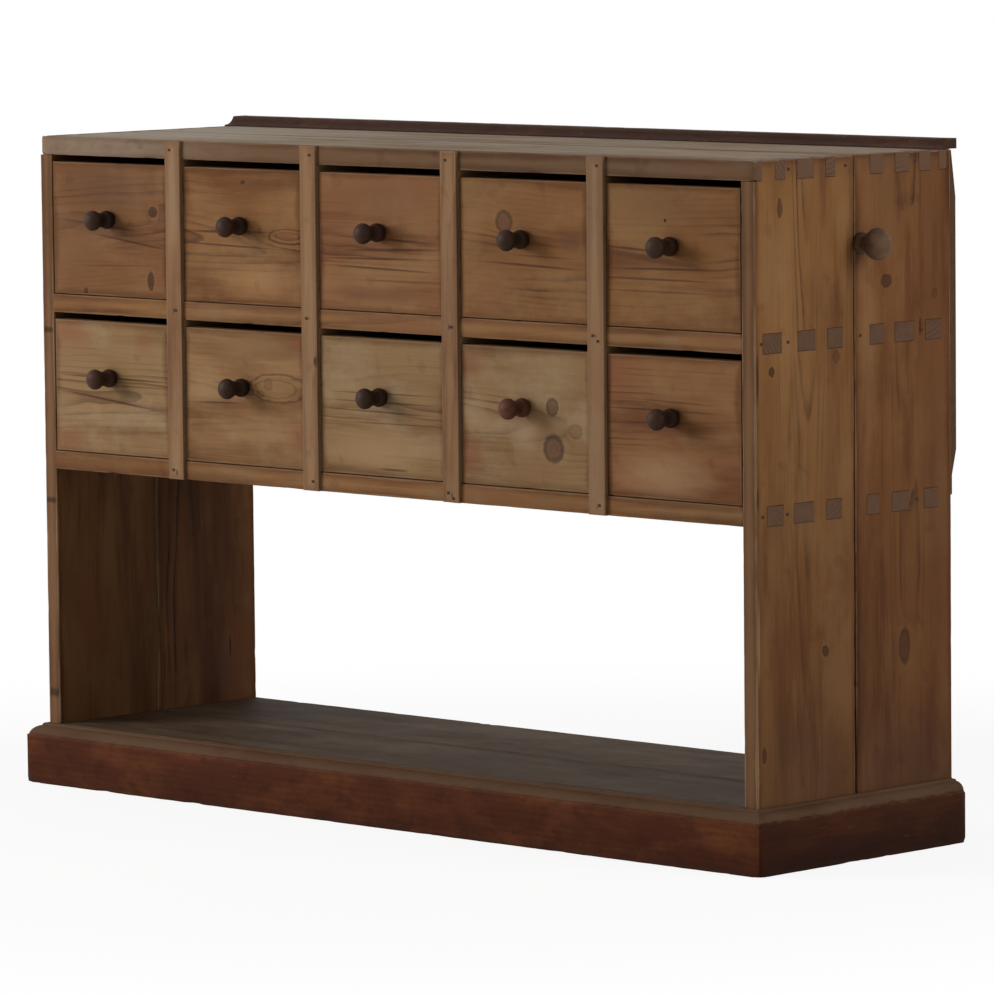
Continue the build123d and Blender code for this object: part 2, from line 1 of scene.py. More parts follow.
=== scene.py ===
# Looks of an old pine seed storage cabinet: ten small drawers in two rows over an open bay, on a
# stained plinth. Metres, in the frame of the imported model: X to the right, Y to the back, Z up.
# Colours are written as they are seen, 0 to 255.

import json
import logging
import math
from dataclasses import dataclass, replace
from enum import Enum
from typing import Iterable, Sequence

import bmesh
import bpy
from mathutils import Matrix, Vector, noise

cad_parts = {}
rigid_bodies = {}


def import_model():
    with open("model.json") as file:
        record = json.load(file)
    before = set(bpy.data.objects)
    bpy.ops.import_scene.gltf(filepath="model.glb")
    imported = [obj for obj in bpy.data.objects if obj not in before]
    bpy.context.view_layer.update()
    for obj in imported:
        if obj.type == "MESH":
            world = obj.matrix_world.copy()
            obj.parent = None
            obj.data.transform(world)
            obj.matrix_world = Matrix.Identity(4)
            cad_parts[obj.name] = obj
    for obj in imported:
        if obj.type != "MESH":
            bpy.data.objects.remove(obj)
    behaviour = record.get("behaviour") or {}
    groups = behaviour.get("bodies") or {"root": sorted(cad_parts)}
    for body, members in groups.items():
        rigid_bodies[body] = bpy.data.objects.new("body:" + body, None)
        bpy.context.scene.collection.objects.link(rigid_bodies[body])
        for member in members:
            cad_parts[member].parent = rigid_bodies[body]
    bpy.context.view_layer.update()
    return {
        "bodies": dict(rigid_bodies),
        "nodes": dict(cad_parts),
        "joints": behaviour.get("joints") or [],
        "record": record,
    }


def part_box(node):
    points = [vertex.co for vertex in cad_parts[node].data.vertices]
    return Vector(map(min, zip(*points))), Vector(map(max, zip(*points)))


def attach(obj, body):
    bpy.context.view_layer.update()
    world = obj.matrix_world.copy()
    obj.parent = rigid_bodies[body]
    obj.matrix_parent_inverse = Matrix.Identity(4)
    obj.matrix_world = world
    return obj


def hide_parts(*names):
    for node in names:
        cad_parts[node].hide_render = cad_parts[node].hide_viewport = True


LOG = logging.getLogger("seed_cabinet")
Colour = tuple[int, int, int]
Corners = tuple[Vector, Vector]
MM = 0.001
MERGE = 1e-6


def linear(colour: Colour) -> tuple[float, ...]:
    """Turn a colour as seen into the linear one that a shader takes.

    Args:
        colour: its red, green and blue, 0 to 255.

    Returns:
        The linear colour, opaque.
    """
    shares = [value / 255 for value in colour]
    return (*(s / 12.92 if s <= 0.04045 else ((s + 0.055) / 1.055) ** 2.4 for s in shares), 1.0)


class Grain(Enum):
    """Which way the fibres of a board run, and which of its faces is the wide one.

    The value gives the row axes along the grain, across the wide face, and through it.
    """

    LENGTHWISE_FLAT = (0, 1, 2)
    LENGTHWISE_UPRIGHT = (0, 2, 1)
    STANDING_SIDE = (2, 1, 0)
    STANDING_FRONT = (2, 0, 1)
    BACKWARDS_UPRIGHT = (1, 2, 0)


# ------------------------------------------------------------------------------ shader arithmetic
class Wire:
    """A shader socket that takes part in Python arithmetic."""

    def __init__(self, graph: "Graph", socket: bpy.types.NodeSocket) -> None:
        """Keep the socket and the graph that it belongs to."""
        self.graph = graph
        self.socket = socket

    def __add__(self, other: "Value") -> "Wire":
        """Add a value."""
        return self.graph.math("ADD", self, other)

    __radd__ = __add__

    def __sub__(self, other: "Value") -> "Wire":
        """Take a value away."""
        return self.graph.math("SUBTRACT", self, other)

    def __rsub__(self, other: "Value") -> "Wire":
        """Be taken away from a value."""
        return self.graph.math("SUBTRACT", other, self)

    def __mul__(self, other: "Value") -> "Wire":
        """Multiply by a value."""
        return self.graph.math("MULTIPLY", self, other)

    __rmul__ = __mul__

    def __truediv__(self, other: "Value") -> "Wire":
        """Divide by a value."""
        return self.graph.math("DIVIDE", self, other)

    def __neg__(self) -> "Wire":
        """Turn the sign round."""
        return self.graph.math("MULTIPLY", self, -1.0)


Value = Wire | float | int


class Graph:
    """A node tree, with the few operations that the finishes need."""

    def __init__(self, owner: bpy.types.Material | bpy.types.World) -> None:
        """Start with no nodes at all.

        Args:
            owner: the material or world that the nodes belong to.
        """
        self.owner = owner
        owner.use_nodes = True
        self.tree = owner.node_tree
        self.tree.nodes.clear()

    @classmethod
    def named(cls, name: str) -> "Graph":
        """Start a new material."""
        return cls(bpy.data.materials.new(name))

    def node(self, kind: str, inputs: dict, **settings: object) -> bpy.types.Node:
        """Add one node.

        Args:
            kind: the node's type.
            inputs: socket number or name to a value or a wire.
            **settings: the node's own settings, which are set first.

        Returns:
            The node.
        """
        node = self.tree.nodes.new(kind)
        for name, setting in settings.items():
            setattr(node, name, setting)
        for key, value in inputs.items():
            if isinstance(value, Wire):
                self.tree.links.new(value.socket, node.inputs[key])
            else:
                node.inputs[key].default_value = value
        return node

    def add(self, kind: str, inputs: dict, output: int | str = 0, **settings: object) -> Wire:
        """Add one node and hand back one of its outputs."""
        return Wire(self, self.node(kind, inputs, **settings).outputs[output])

    def close(self, surface: Wire) -> None:
        """Make a surface shader the result."""
        end = "World" if isinstance(self.owner, bpy.types.World) else "Material"
        self.node(f"ShaderNodeOutput{end}", {"Surface": surface})

    def math(self, operation: str, *values: Value) -> Wire:
        """A Math node on numbers."""
        return self.add("ShaderNodeMath", dict(enumerate(values)), operation=operation)

    def length(self, x: Wire, y: Wire) -> Wire:
        """How long a flat vector is."""
        return self.math("SQRT", x * x + y * y)

    def position(self) -> list[Wire]:
        """The surface point in the row frame, as three wires."""
        place = self.add("ShaderNodeTexCoord", {}, "Object")
        return [Wire(self, end) for end in self.node("ShaderNodeSeparateXYZ", {0: place}).outputs]

    def vector(self, x: Value, y: Value, z: Value) -> Wire:
        """Three numbers as one vector."""
        return self.add("ShaderNodeCombineXYZ", {0: x, 1: y, 2: z})

    def noise(self, vector: Wire, detail: float = 2.0, rough: float = 0.5) -> Wire:
        """A noise between 0 and 1."""
        inputs = {"Vector": vector, "Scale": 1.0, "Detail": detail, "Roughness": rough}
        return self.add("ShaderNodeTexNoise", inputs)

    def speckle(self, axes: Sequence[Wire], along: float, across: float, detail: float = 2.0,
                rough: float = 0.5, shift: Sequence[float] = (0, 0, 0)) -> Wire:
        """A noise between 0 and 1, stretched along the grain.

        Args:
            axes: the surface point, along the grain first.
            along: the noise's scale along the grain.
            across: its scale on the other two axes.
            detail: how many octaves it has.
            rough: how strong the finer octaves are.
            shift: how far it is moved on each axis.

        Returns:
            The noise.
        """
        moves = zip(axes, (along, across, across), shift)
        return self.noise(self.vector(*[axis * scale + move if move else axis * scale
                                        for axis, scale, move in moves]), detail, rough)

    def step(self, low: Value, high: Value, value: Value) -> Wire:
        """A smooth rise from 0 at low to 1 at high."""
        inputs = {"Value": value, "From Min": low, "From Max": high}
        return self.add("ShaderNodeMapRange", inputs, interpolation_type="SMOOTHSTEP")

    def blend(self, factor: Value, first: "Wire | Colour", second: "Wire | Colour",
              mode: str = "MIX") -> Wire:
        """Mix two colours.

        Args:
            factor: the share of the second.
            first: a colour or its wire.
            second: a colour or its wire.
            mode: the way of mixing, such as MULTIPLY.

        Returns:
            The mixed colour.
        """
        colours = {6: first, 7: second}
        inputs = {key: c if isinstance(c, Wire) else linear(c) for key, c in colours.items()}
        settings = {"data_type": "RGBA", "blend_type": mode, "clamp_factor": True}
        return self.add("ShaderNodeMix", {0: factor, **inputs}, 2, **settings)

    def tint(self, factor: Value, colour: Wire, shade: Colour) -> Wire:
        """Darken a colour by a share of a shade."""
        return self.blend(factor, colour, shade, "MULTIPLY")

    def finish(self, colour: Wire, rough: Value, height: Wire, depth: float,
               **fixed: float) -> bpy.types.Material:
        """Close the material with a surface shader.

        Args:
            colour: the base colour.
            rough: the roughness.
            height: the relief, in units of depth.
            depth: how many metres one unit of relief is.
            **fixed: other sockets of the surface shader, underscores for spaces.

        Returns:
            The finished material.
        """
        bump = self.add("ShaderNodeBump", {"Height": height, "Distance": depth, "Strength": 1.0})
        inputs = {"Base Color": colour, "Roughness": rough, "Normal": bump}
        inputs.update({name.replace("_", " "): value for name, value in fixed.items()})
        self.close(self.add("ShaderNodeBsdfPrincipled", inputs))
        return self.owner


# ------------------------------------------------------------------------------ marks in the wood, painted shade and sheen
@dataclass(frozen=True)
class Mark:
    """A stain, streak, pale patch, painted shadow or painted sheen on a board's wide face, in
    metres and the row frame.
    """

    along: float
    across: float
    half_length: float
    half_width: float
    colour: Colour
    strength: float = 0.6
    softness: float = 0.7
    tilt: float = 0.0
    outline: float = 0.0


@dataclass(frozen=True)
class Knot:
    """A knot, which the growth rings flow around."""

    along: float
    across: float
    half_length: float
    half_width: float
    colour: Colour = (54, 30, 17)
    strength: float = 0.9
    bend: float = 0.9
    rim: Colour = (30, 16, 9)
    tilt: float = 0.0


@dataclass(frozen=True)
class Log:
    """Where the board lay in its tree: the pith's place from the board's middle, and its lean."""

    across: float = 0.02
    through: float = 0.045
    lean_across: float = 0.02
    lean_through: float = 0.05
    ring: float = 0.0065
    wander: float = 0.016
    band: float = 0.5
    seed: float = 0.0


@dataclass(frozen=True)
class Pine:
    """A finish of old waxed pine."""

    early: Colour
    late: Colour
    warm: Colour
    dusty: Colour
    contrast: float = 0.5
    warmth: float = 0.5
    dust: float = 0.55
    grime: float = 0.6
    dirt_and_shade: float = 0.5
    # Near each face's edges the colour darkens: partly soiling, partly painted shade where boards
    # meet.
    dirt_and_shade_reach: float = 0.012
    wear: float = 0.3
    wear_colour: Colour = (140, 116, 90)
    end_colour: Colour = (98, 74, 60)
    end_late: Colour = (72, 52, 42)
    front_colour: Colour | None = None
    roughness: float = 0.62
    specular: float = 0.08
    relief: float = 0.3
    # fade darkens the board towards the bottom: partly patina, partly painted shade of light
    # falling off lower down.
    fade: float = 0.0
    fade_from: float = 0.1
    fade_to: float = 0.9


class WoodShader:
    """Builds the material of one board from its finish, its log and its marks."""

    mark_uneven = 1.1
    knot_uneven = 1.2
    knot_ragged = 0.0055

    def __init__(self, name: str, corners: Corners, grain: Grain, pine: Pine, log: Log,
                 marks: Sequence["Mark | Knot"] = ()) -> None:
        """Keep what the material is made from, and lay out the noises that its parts share.

        Args:
            name: the material's name.
            corners: the board's lowest and highest corners.
            grain: which way its fibres run.
            pine: its finish.
            log: where it lay in the tree.
            marks: its knots and stains, and any painted shade or sheen.
        """
        self.graph = Graph.named(name)
        self.corners, self.grain, self.pine, self.log = corners, grain, pine, log
        self.place = self.graph.position()
        self.axes = [self.place[axis] for axis in grain.value]
        self.broad = self.noise(4.0, 11.0, 4.0, 0.5, (1, 0, -1))
        self.fine = self.noise(40.0, 90.0, 3.0, 0.6, (0, 1, 0))
        self.cloud = self.noise(7.0, 11.0, 5.0, 0.62, (-1, 0, 0))
        lump = self.noise(120.0, 190.0, 3.0, 0.6, (0, 0, -1))
        self.marks = [mark for mark in marks if isinstance(mark, Mark)]
        self.knots = []
        for knot in marks:
            if isinstance(knot, Knot):
                small = self.knot_ragged / min(knot.half_length, knot.half_width)
                self.knots.append((knot, self.reach(knot, lump, min(self.knot_uneven, small))))

    def noise(self, along: float, across: float, detail: float, rough: float,
              shift: Sequence[int]) -> Wire:
        """A noise along the grain, moved on each axis by so many times the log's seed."""
        moves = [times * self.log.seed for times in shift]
        return self.graph.speckle(self.axes, along, across, detail, rough, moves)

    def distances(self) -> list[Wire]:
        """How far the point is from the nearer face of the board's box, along each axis."""
        return [self.graph.math("MINIMUM", place - low, high - place)
                for place, low, high in zip(self.place, *self.corners)]

    def edge_gap(self, gaps: Sequence[Wire]) -> Wire:
        """The middle one of three gaps, which is the distance to the face's nearest edge.

        Args:
            gaps: the distances to the faces.

        Returns:
            The distance.
        """
        math_ = self.graph.math
        low = math_("MINIMUM", gaps[0], gaps[1])
        high = math_("MAXIMUM", gaps[0], gaps[1])
        return math_("MAXIMUM", low, math_("MINIMUM", high, gaps[2]))

    def reach(self, mark: "Mark | Knot", rough: Wire, uneven: float) -> Wire:
        """A mark's own distance: 0 in its middle and 1 on its outline, made uneven.

        Args:
            mark: the mark or knot.
            rough: the noise that makes it uneven.
            uneven: how strongly.

        Returns:
            The distance.
        """
        far = self.axes[0] - mark.along
        across = (self.axes[1] - mark.across - far * mark.tilt) / mark.half_width
        return self.graph.length(far / mark.half_length, across) + (rough - 0.5) * uneven

    def rings(self) -> Wire:
        """The growth rings: 0 in pale early wood, rising to 1 at each dark line.

        Returns:
            The rings' strength.
        """
        graph, log = self.graph, self.log
        g, u, w = self.axes
        low, high = self.corners
        middle = [(low[axis] + high[axis]) / 2 for axis in self.grain.value]
        sway = self.noise(1.6, 5.0, 3.0, 0.45, (1, -1, 2))
        shiver = self.noise(9.0, 26.0, 2.0, 0.5, (-1, 1, 0))
        far = g - middle[0]
        off_u = u - (middle[1] + log.across) - far * log.lean_across
        off_w = w - (middle[2] + log.through) - far * log.lean_through
        off_w = off_w + (sway - 0.5) * (2 * log.wander)
        count = graph.length(off_u, off_w) / log.ring + (shiver - 0.5) * 0.9
        for knot, reach in self.knots:
            count = count + graph.math("EXPONENT", -(reach * reach) * 0.55) * (3.2 * knot.bend)
        turn, whole = graph.math("FRACT", count), graph.math("FLOOR", count)
        force = graph.noise(graph.vector(whole * 7.31 + log.seed, 0.5, 0.5), 0.0)
        rise = graph.step(0.3, 0.93, turn)
        drop = 1 - graph.step(0.94, 1.0, turn)
        bundle = graph.step(0.42, 0.66, self.noise(3.0, 15.0, 2.0, 0.5, (1, 0, 1)))
        inside = 1 - graph.step(log.band, log.band * 1.9, graph.math("ABSOLUTE", off_u))
        share = (0.12 + bundle * 0.88) * (0.2 + inside * 0.8)
        return rise * rise * drop * (0.3 + force * 1.2) * share

    def wood(self, ring: Wire) -> tuple[Wire, Wire]:
        """Old wood without its marks: rings, warm and dusty clouds, grime and fibres.

        Args:
            ring: the growth rings.

        Returns:
            The colour and the relief.
        """
        graph, pine = self.graph, self.pine
        fibre = self.noise(7.0, 420.0, 3.0, 0.65, (1, 0, 0))
        strand = graph.step(0.6, 0.74, self.noise(3.0, 150.0, 2.0, 0.6, (0, -1, 0)))
        haze = graph.step(0.48, 0.7, self.noise(2.2, 19.0, 5.0, 0.6, (0, -1, 0)))
        colour = graph.blend(ring * pine.contrast, pine.early, pine.late)
        colour = graph.blend(graph.step(0.44, 0.68, self.broad) * pine.warmth, colour, pine.warm)
        colour = graph.blend(strand * 0.3, colour, pine.late)
        colour = graph.blend(graph.step(0.44, 0.66, self.cloud) * pine.dust, colour, pine.dusty)
        colour = graph.tint(haze * pine.grime, colour, (178, 144, 112))
        colour = graph.tint((1 - fibre) * 0.4, colour, (178, 152, 126))
        # Darker towards the bottom: partly patina, partly painted shade.
        if pine.fade:
            height = self.place[2] + (self.broad - 0.5) * 0.3
            low = 1 - graph.step(pine.fade_from, pine.fade_to, height)
            colour = graph.tint(low * pine.fade, colour, (156, 138, 122))
        if pine.front_colour:
            depth = self.place[1] - self.corners[0][1] + (self.fine - 0.5) * 0.004
            facing = 1 - graph.step(0.001, 0.004, depth)
            front = graph.blend(ring * 0.5, pine.front_colour, pine.late)
            colour = graph.blend(facing * 0.9, colour, front)
        return colour, ring * 0.4 + fibre * 0.35 - strand * 0.25

    def knotted(self, colour: Wire, relief: Wire) -> tuple[Wire, Wire]:
        """Set the knots into the wood.

        Args:
            colour: the wood's colour.
            relief: its relief.

        Returns:
            The colour and the relief.
        """
        graph, pine = self.graph, self.pine
        for knot, reach in self.knots:
            if not knot.strength:
                continue
            heart = 1 - graph.step(0.55, 1.15, reach)
            rim = graph.step(0.6, 0.92, reach) * (1 - graph.step(0.96, 1.3, reach))
            glow = graph.step(0.9, 1.2, reach) * (1 - graph.step(1.2, 1.9, reach))
            swirl = graph.math("PINGPONG", reach, 0.19) * 5.2
            inner = graph.blend(swirl * 0.3, knot.colour, pine.warm)
            colour = graph.blend(glow * 0.12 * knot.strength, colour, pine.dusty)
            colour = graph.blend(heart * knot.strength, colour, inner)
            colour = graph.blend(rim * 0.75 * knot.strength, colour, knot.rim)
            relief = relief + heart * 0.3
        return colour, relief

    def marked(self, colour: Wire) -> Wire:
        """Lay the stains, streaks and patches over the wood, with the painted shade and sheen.

        Args:
            colour: the wood's colour.

        Returns:
            The colour.
        """
        graph = self.graph
        for mark in self.marks:
            reach = self.reach(mark, self.broad * 0.6 + self.fine * 0.4, self.mark_uneven)
            cover = 1 - graph.step(1 - mark.softness, 1 + 0.3 * mark.softness, reach)
            if mark.outline:
                cover = cover * graph.step(1 - 2.2 * mark.outline, 1 - mark.outline, reach)
            colour = graph.blend(cover * mark.strength, colour, mark.colour)
        return colour

    def build(self) -> bpy.types.Material:
        """Make the material: the wood, then its edges darkened by soiling and painted shade, its
        rubbed edges, its ends and its dents.

        Returns:
            The finished material.
        """
        graph, pine = self.graph, self.pine
        ring = self.rings()
        colour, relief = self.knotted(*self.wood(ring))
        colour = self.marked(colour)

        gaps = self.distances()
        edge = self.edge_gap(gaps)
        ragged = edge + (self.broad - 0.5) * 0.03 + (self.fine - 0.5) * 0.006
        # Darker near the face's edges: partly soiling, partly painted shade in the corners and
        # joints.
        dirt_and_shade = 1 - graph.step(0.0, pine.dirt_and_shade_reach, ragged)
        colour = graph.tint(dirt_and_shade * pine.dirt_and_shade, colour, (150, 116, 88))
        rubbed = 1 - graph.step(0.0004, 0.0026, edge + (self.cloud - 0.5) * 0.009)
        colour = graph.blend(rubbed * pine.wear, colour, pine.wear_colour)
        end = 1 - graph.step(0.0005, 0.0011, gaps[self.grain.value[0]])
        end_tint = graph.blend(ring * 0.6, pine.end_colour, pine.end_late)
        end_tint = graph.blend(graph.step(0.4, 0.65, self.fine) * 0.3, end_tint, pine.late)
        colour = graph.blend(end, colour, end_tint)

        g, u, w = self.axes
        scratch = graph.vector(g * 30.0 - self.log.seed, u * 30.0 + g * 9.0, w * 30.0)
        dents = graph.step(0.66, 0.74, graph.noise(scratch, 1.0))
        colour = graph.tint(dents * 0.2, colour, (170, 150, 130))
        rough = pine.roughness + (self.fine - 0.5) * 0.2 + dirt_and_shade * 0.1 - rubbed * 0.05
        return graph.finish(colour, rough, relief - dents * 0.3, pine.relief * MM,
                            Specular_IOR_Level=pine.specular)


# ------------------------------------------------------------------------------ finishes
FRONT_PINE = Pine((121, 83, 47), (54, 29, 14), (90, 56, 30), (135, 104, 68), 0.9,
                  grime=0.7)
MILD_PINE = replace(FRONT_PINE, early=(135, 103, 68), dusty=(144, 119, 86))
PALE_PINE = replace(FRONT_PINE, early=(131, 104, 71), late=(74, 48, 28),
                    warm=(114, 82, 54), dusty=(148, 129, 102))
RED_PINE = replace(FRONT_PINE, early=(125, 86, 53), warm=(114, 74, 46))
DARK_PINE = replace(FRONT_PINE, early=(112, 75, 43), dusty=(124, 92, 62))
RAIL_PINE = Pine((132, 95, 59), (80, 50, 30), (107, 69, 42), (127, 101, 72), 0.5,
                 end_colour=(84, 62, 47), end_late=(56, 39, 29))
STRIP_PINE = Pine((137, 106, 76), (96, 68, 46), (120, 88, 60), (136, 112, 86), 0.4,
                  dirt_and_shade=0.35)
# The sides darken towards the bottom: partly patina, partly painted shade.
SIDE_PINE = Pine((123, 86, 49), (54, 30, 15), (92, 58, 32), (130, 99, 64), 1.3,
                 warmth=0.6, dust=0.5, grime=0.75, wear=0.5, fade=0.5, fade_from=0.05, fade_to=0.8)
FRONT_SIDE_PINE = replace(SIDE_PINE, front_colour=(106, 76, 51))
REAR_SIDE_PINE = replace(SIDE_PINE, early=(108, 70, 38), warm=(84, 49, 26),
                         dusty=(120, 87, 54), fade=0.45)
# The top's pale grey, in its early wood and dusty clouds, is partly dusty old pine and partly a
# painted sheen of the sky at this low angle.
TOP_PINE = Pine((138, 123, 104), (92, 72, 54), (116, 94, 74), (152, 141, 126), 0.5,
                front_colour=(95, 69, 48), roughness=0.75, specular=0.06,
                end_colour=(92, 69, 54), end_late=(62, 45, 34))
# The bay floor's dark grey-brown is partly painted shade of the bay under the deck.
FLOOR_PINE = Pine((77, 62, 47), (48, 36, 27), (57, 41, 29), (95, 82, 69), 0.5,
                  roughness=0.7, specular=0.06)
INNER_PINE = Pine((158, 126, 86), (110, 76, 46), (140, 106, 70), (150, 126, 96))
BACK_PINE = Pine((84, 60, 40), (56, 38, 27), (74, 50, 33), (90, 72, 54),
                 end_colour=(76, 53, 37), end_late=(54, 37, 26))
SEAM_PINE = replace(BACK_PINE, early=(58, 42, 31), late=(40, 28, 21))


@dataclass(frozen=True)
class StainFinish:
    """An old red-brown stain over pine, rubbed through on the edges."""

    dark: Colour = (74, 37, 20)
    warm: Colour = (99, 56, 30)
    bare: Colour = (84, 64, 48)
    lip_height: float = 0.0665
    lip_share: float = 0.92
    foot_share: float = 0.5
    # shade darkens the plinth towards the floor: painted shade.
    shade: float = 0.0
    seed: float = 0.0

    def build(self, name: str, grain: Grain) -> bpy.types.Material:
        """Make the material.

        Args:
            name: the material's name.
            grain: which way the fibres run.

        Returns:
            The finished material.
        """
        graph = Graph.named(name)
        place = graph.position()
        g, u, w = axes = [place[axis] for axis in grain.value]
        broad = graph.speckle(axes, 7.0, 18.0, 5.0, 0.6, (self.seed, 0, 0))
        mottle = graph.speckle(axes, 34.0, 46.0, 4.0, 0.6, (0, -self.seed, 0))
        fine = graph.speckle(axes, 60.0, 160.0, 3.0, 0.6, (0, self.seed, 0))
        fibre = graph.speckle(axes, 8.0, 300.0, 3.0, 0.6)
        drift = (broad - 0.5) * 3.0
        lines = graph.math("SINE", (u + w * 0.6) * 700.0 + drift * 2.0 + g * 6.0)
        colour = graph.blend(graph.step(0.42, 0.74, broad), self.dark, self.warm)
        colour = graph.blend(graph.step(0.48, 0.68, mottle) * 0.45, colour, (54, 26, 16))
        colour = graph.tint((0.5 - lines * 0.5) * 0.12, colour, (150, 110, 90))
        colour = graph.tint((1 - fibre) * 0.35, colour, (140, 110, 95))
        height = place[2]
        lip = graph.step(self.lip_height, self.lip_height + 0.006, height + (fine - 0.5) * 0.012)
        worn = lip * (0.6 + graph.step(0.35, 0.6, broad) * 0.4)
        colour = graph.blend(worn * self.lip_share, colour, self.bare)
        foot = 1 - graph.step(0.0, 0.012, height + (broad - 0.45) * 0.02 + (fine - 0.5) * 0.01)
        colour = graph.blend(foot * self.foot_share, colour, (52, 34, 26))
        chips = graph.step(0.66, 0.72, fine)
        colour = graph.blend(chips * 0.4, colour, self.bare)
        # Darker towards the bottom: painted shade near the floor.
        if self.shade:
            low = 1 - graph.step(0.0, 0.08, height + (broad - 0.5) * 0.03)
            colour = graph.tint(low * self.shade, colour, (150, 140, 136))
        relief = fibre * 0.4 + lines * 0.1 - chips * 0.6
        rough = 0.52 + worn * 0.2 + (fine - 0.5) * 0.25
        return graph.finish(colour, rough, relief, 0.3 * MM, Specular_IOR_Level=0.04)


@dataclass(frozen=True)
class TurnedFinish:
    """Turned wood, darkened by hands and polished by use."""

    dark: Colour = (34, 21, 16)
    light: Colour = (54, 34, 25)
    rubbed: float = 0.2
    seed: float = 0.0

    def build(self, name: str, axis: int, start: float, end: float) -> bpy.types.Material:
        """Make the material.

        Args:
            name: the material's name.
            axis: the row axis that the knob is turned about.
            start: where the knob begins on that axis.
            end: where its tip is.

        Returns:
            The finished material.
        """
        graph = Graph.named(name)
        place = graph.position()
        along = place[axis]
        broad = graph.speckle(place, 40.0, 40.0, 3.0, 0.6, (self.seed,) * 3)
        fine = graph.speckle(place, 260.0, 260.0, 3.0, 0.6)
        cuts = graph.noise(graph.vector(along * 900.0, self.seed, 0.0))
        grain = graph.noise(graph.vector(along * 60.0, place[2] * 500.0, place[0] * 120.0))
        colour = graph.blend(graph.step(0.3, 0.75, broad), self.dark, self.light)
        colour = graph.tint((1 - grain) * 0.5, colour, (140, 116, 104))
        tip = graph.step(start, end, along) if end > start else 1 - graph.step(end, start, along)
        colour = graph.blend(tip * self.rubbed * fine, colour, (116, 88, 70))
        relief = cuts * 0.5 + fine * 0.3
        rough = 0.5 + (fine - 0.5) * 0.2 + (broad - 0.5) * 0.12
        return graph.finish(colour, rough, relief, 0.12 * MM, Specular_IOR_Level=0.08)


@dataclass(frozen=True)
class IronFinish:
    """Blackened iron of the cut nails."""

    dark: Colour = (38, 30, 27)
    rust: Colour = (74, 46, 32)

    def build(self, name: str) -> bpy.types.Material:
        """Make the material.

        Args:
            name: the material's name.

        Returns:
            The finished material.
        """
        graph = Graph.named(name)
        pits = graph.speckle(graph.position(), 900.0, 900.0, 3.0, 0.6)
        colour = graph.blend(graph.step(0.4, 0.65, pits), self.dark, self.rust)
        rough = 0.65 + (pits - 0.5) * 0.3
        return graph.finish(colour, rough, pits, 0.2 * MM, Metallic=0.25, Specular_IOR_Level=0.1)


# ------------------------------------------------------------------------------ shaping
def set_down(solid: bmesh.types.BMesh, name: str, sharp: float = 0.0) -> bpy.types.Object:
    """Turn a finished bmesh into an object of the scene.

    Args:
        solid: the bmesh, which is freed.
        name: the object's and its mesh's name.
        sharp: the angle, in degrees, past which an edge is kept sharp; 0 keeps all faces flat.

    Returns:
        The object.
    """
    mesh = bpy.data.meshes.new(name)
    solid.to_mesh(mesh)
    solid.free()
    if sharp:
        mesh.shade_smooth()
        mesh.set_sharp_from_angle(angle=math.radians(sharp))
    piece = bpy.data.objects.new(name, mesh)
    bpy.context.scene.collection.objects.link(piece)
    LOG.info("%s: %d faces", name, len(mesh.polygons))
    return piece


def dress(board: bpy.types.Object, material: bpy.types.Material) -> None:
    """Give a piece one material."""
    board.data.materials.clear()
    board.data.materials.append(material)


@dataclass(frozen=True)
class Wear:
    """How far the edges of a board are rubbed and chipped, in metres.

    A chip bites where a noise passes the threshold. Wear stops at the reach from an edge, and the
    points along an edge stand the spacing apart.
    """

    rub: float = 0.0003
    chip: float = 0.0045
    threshold: float = 0.42
    reach: float = 0.006
    spacing: float = 0.010
    corner: float = 0.0
    seed: float = 0.0


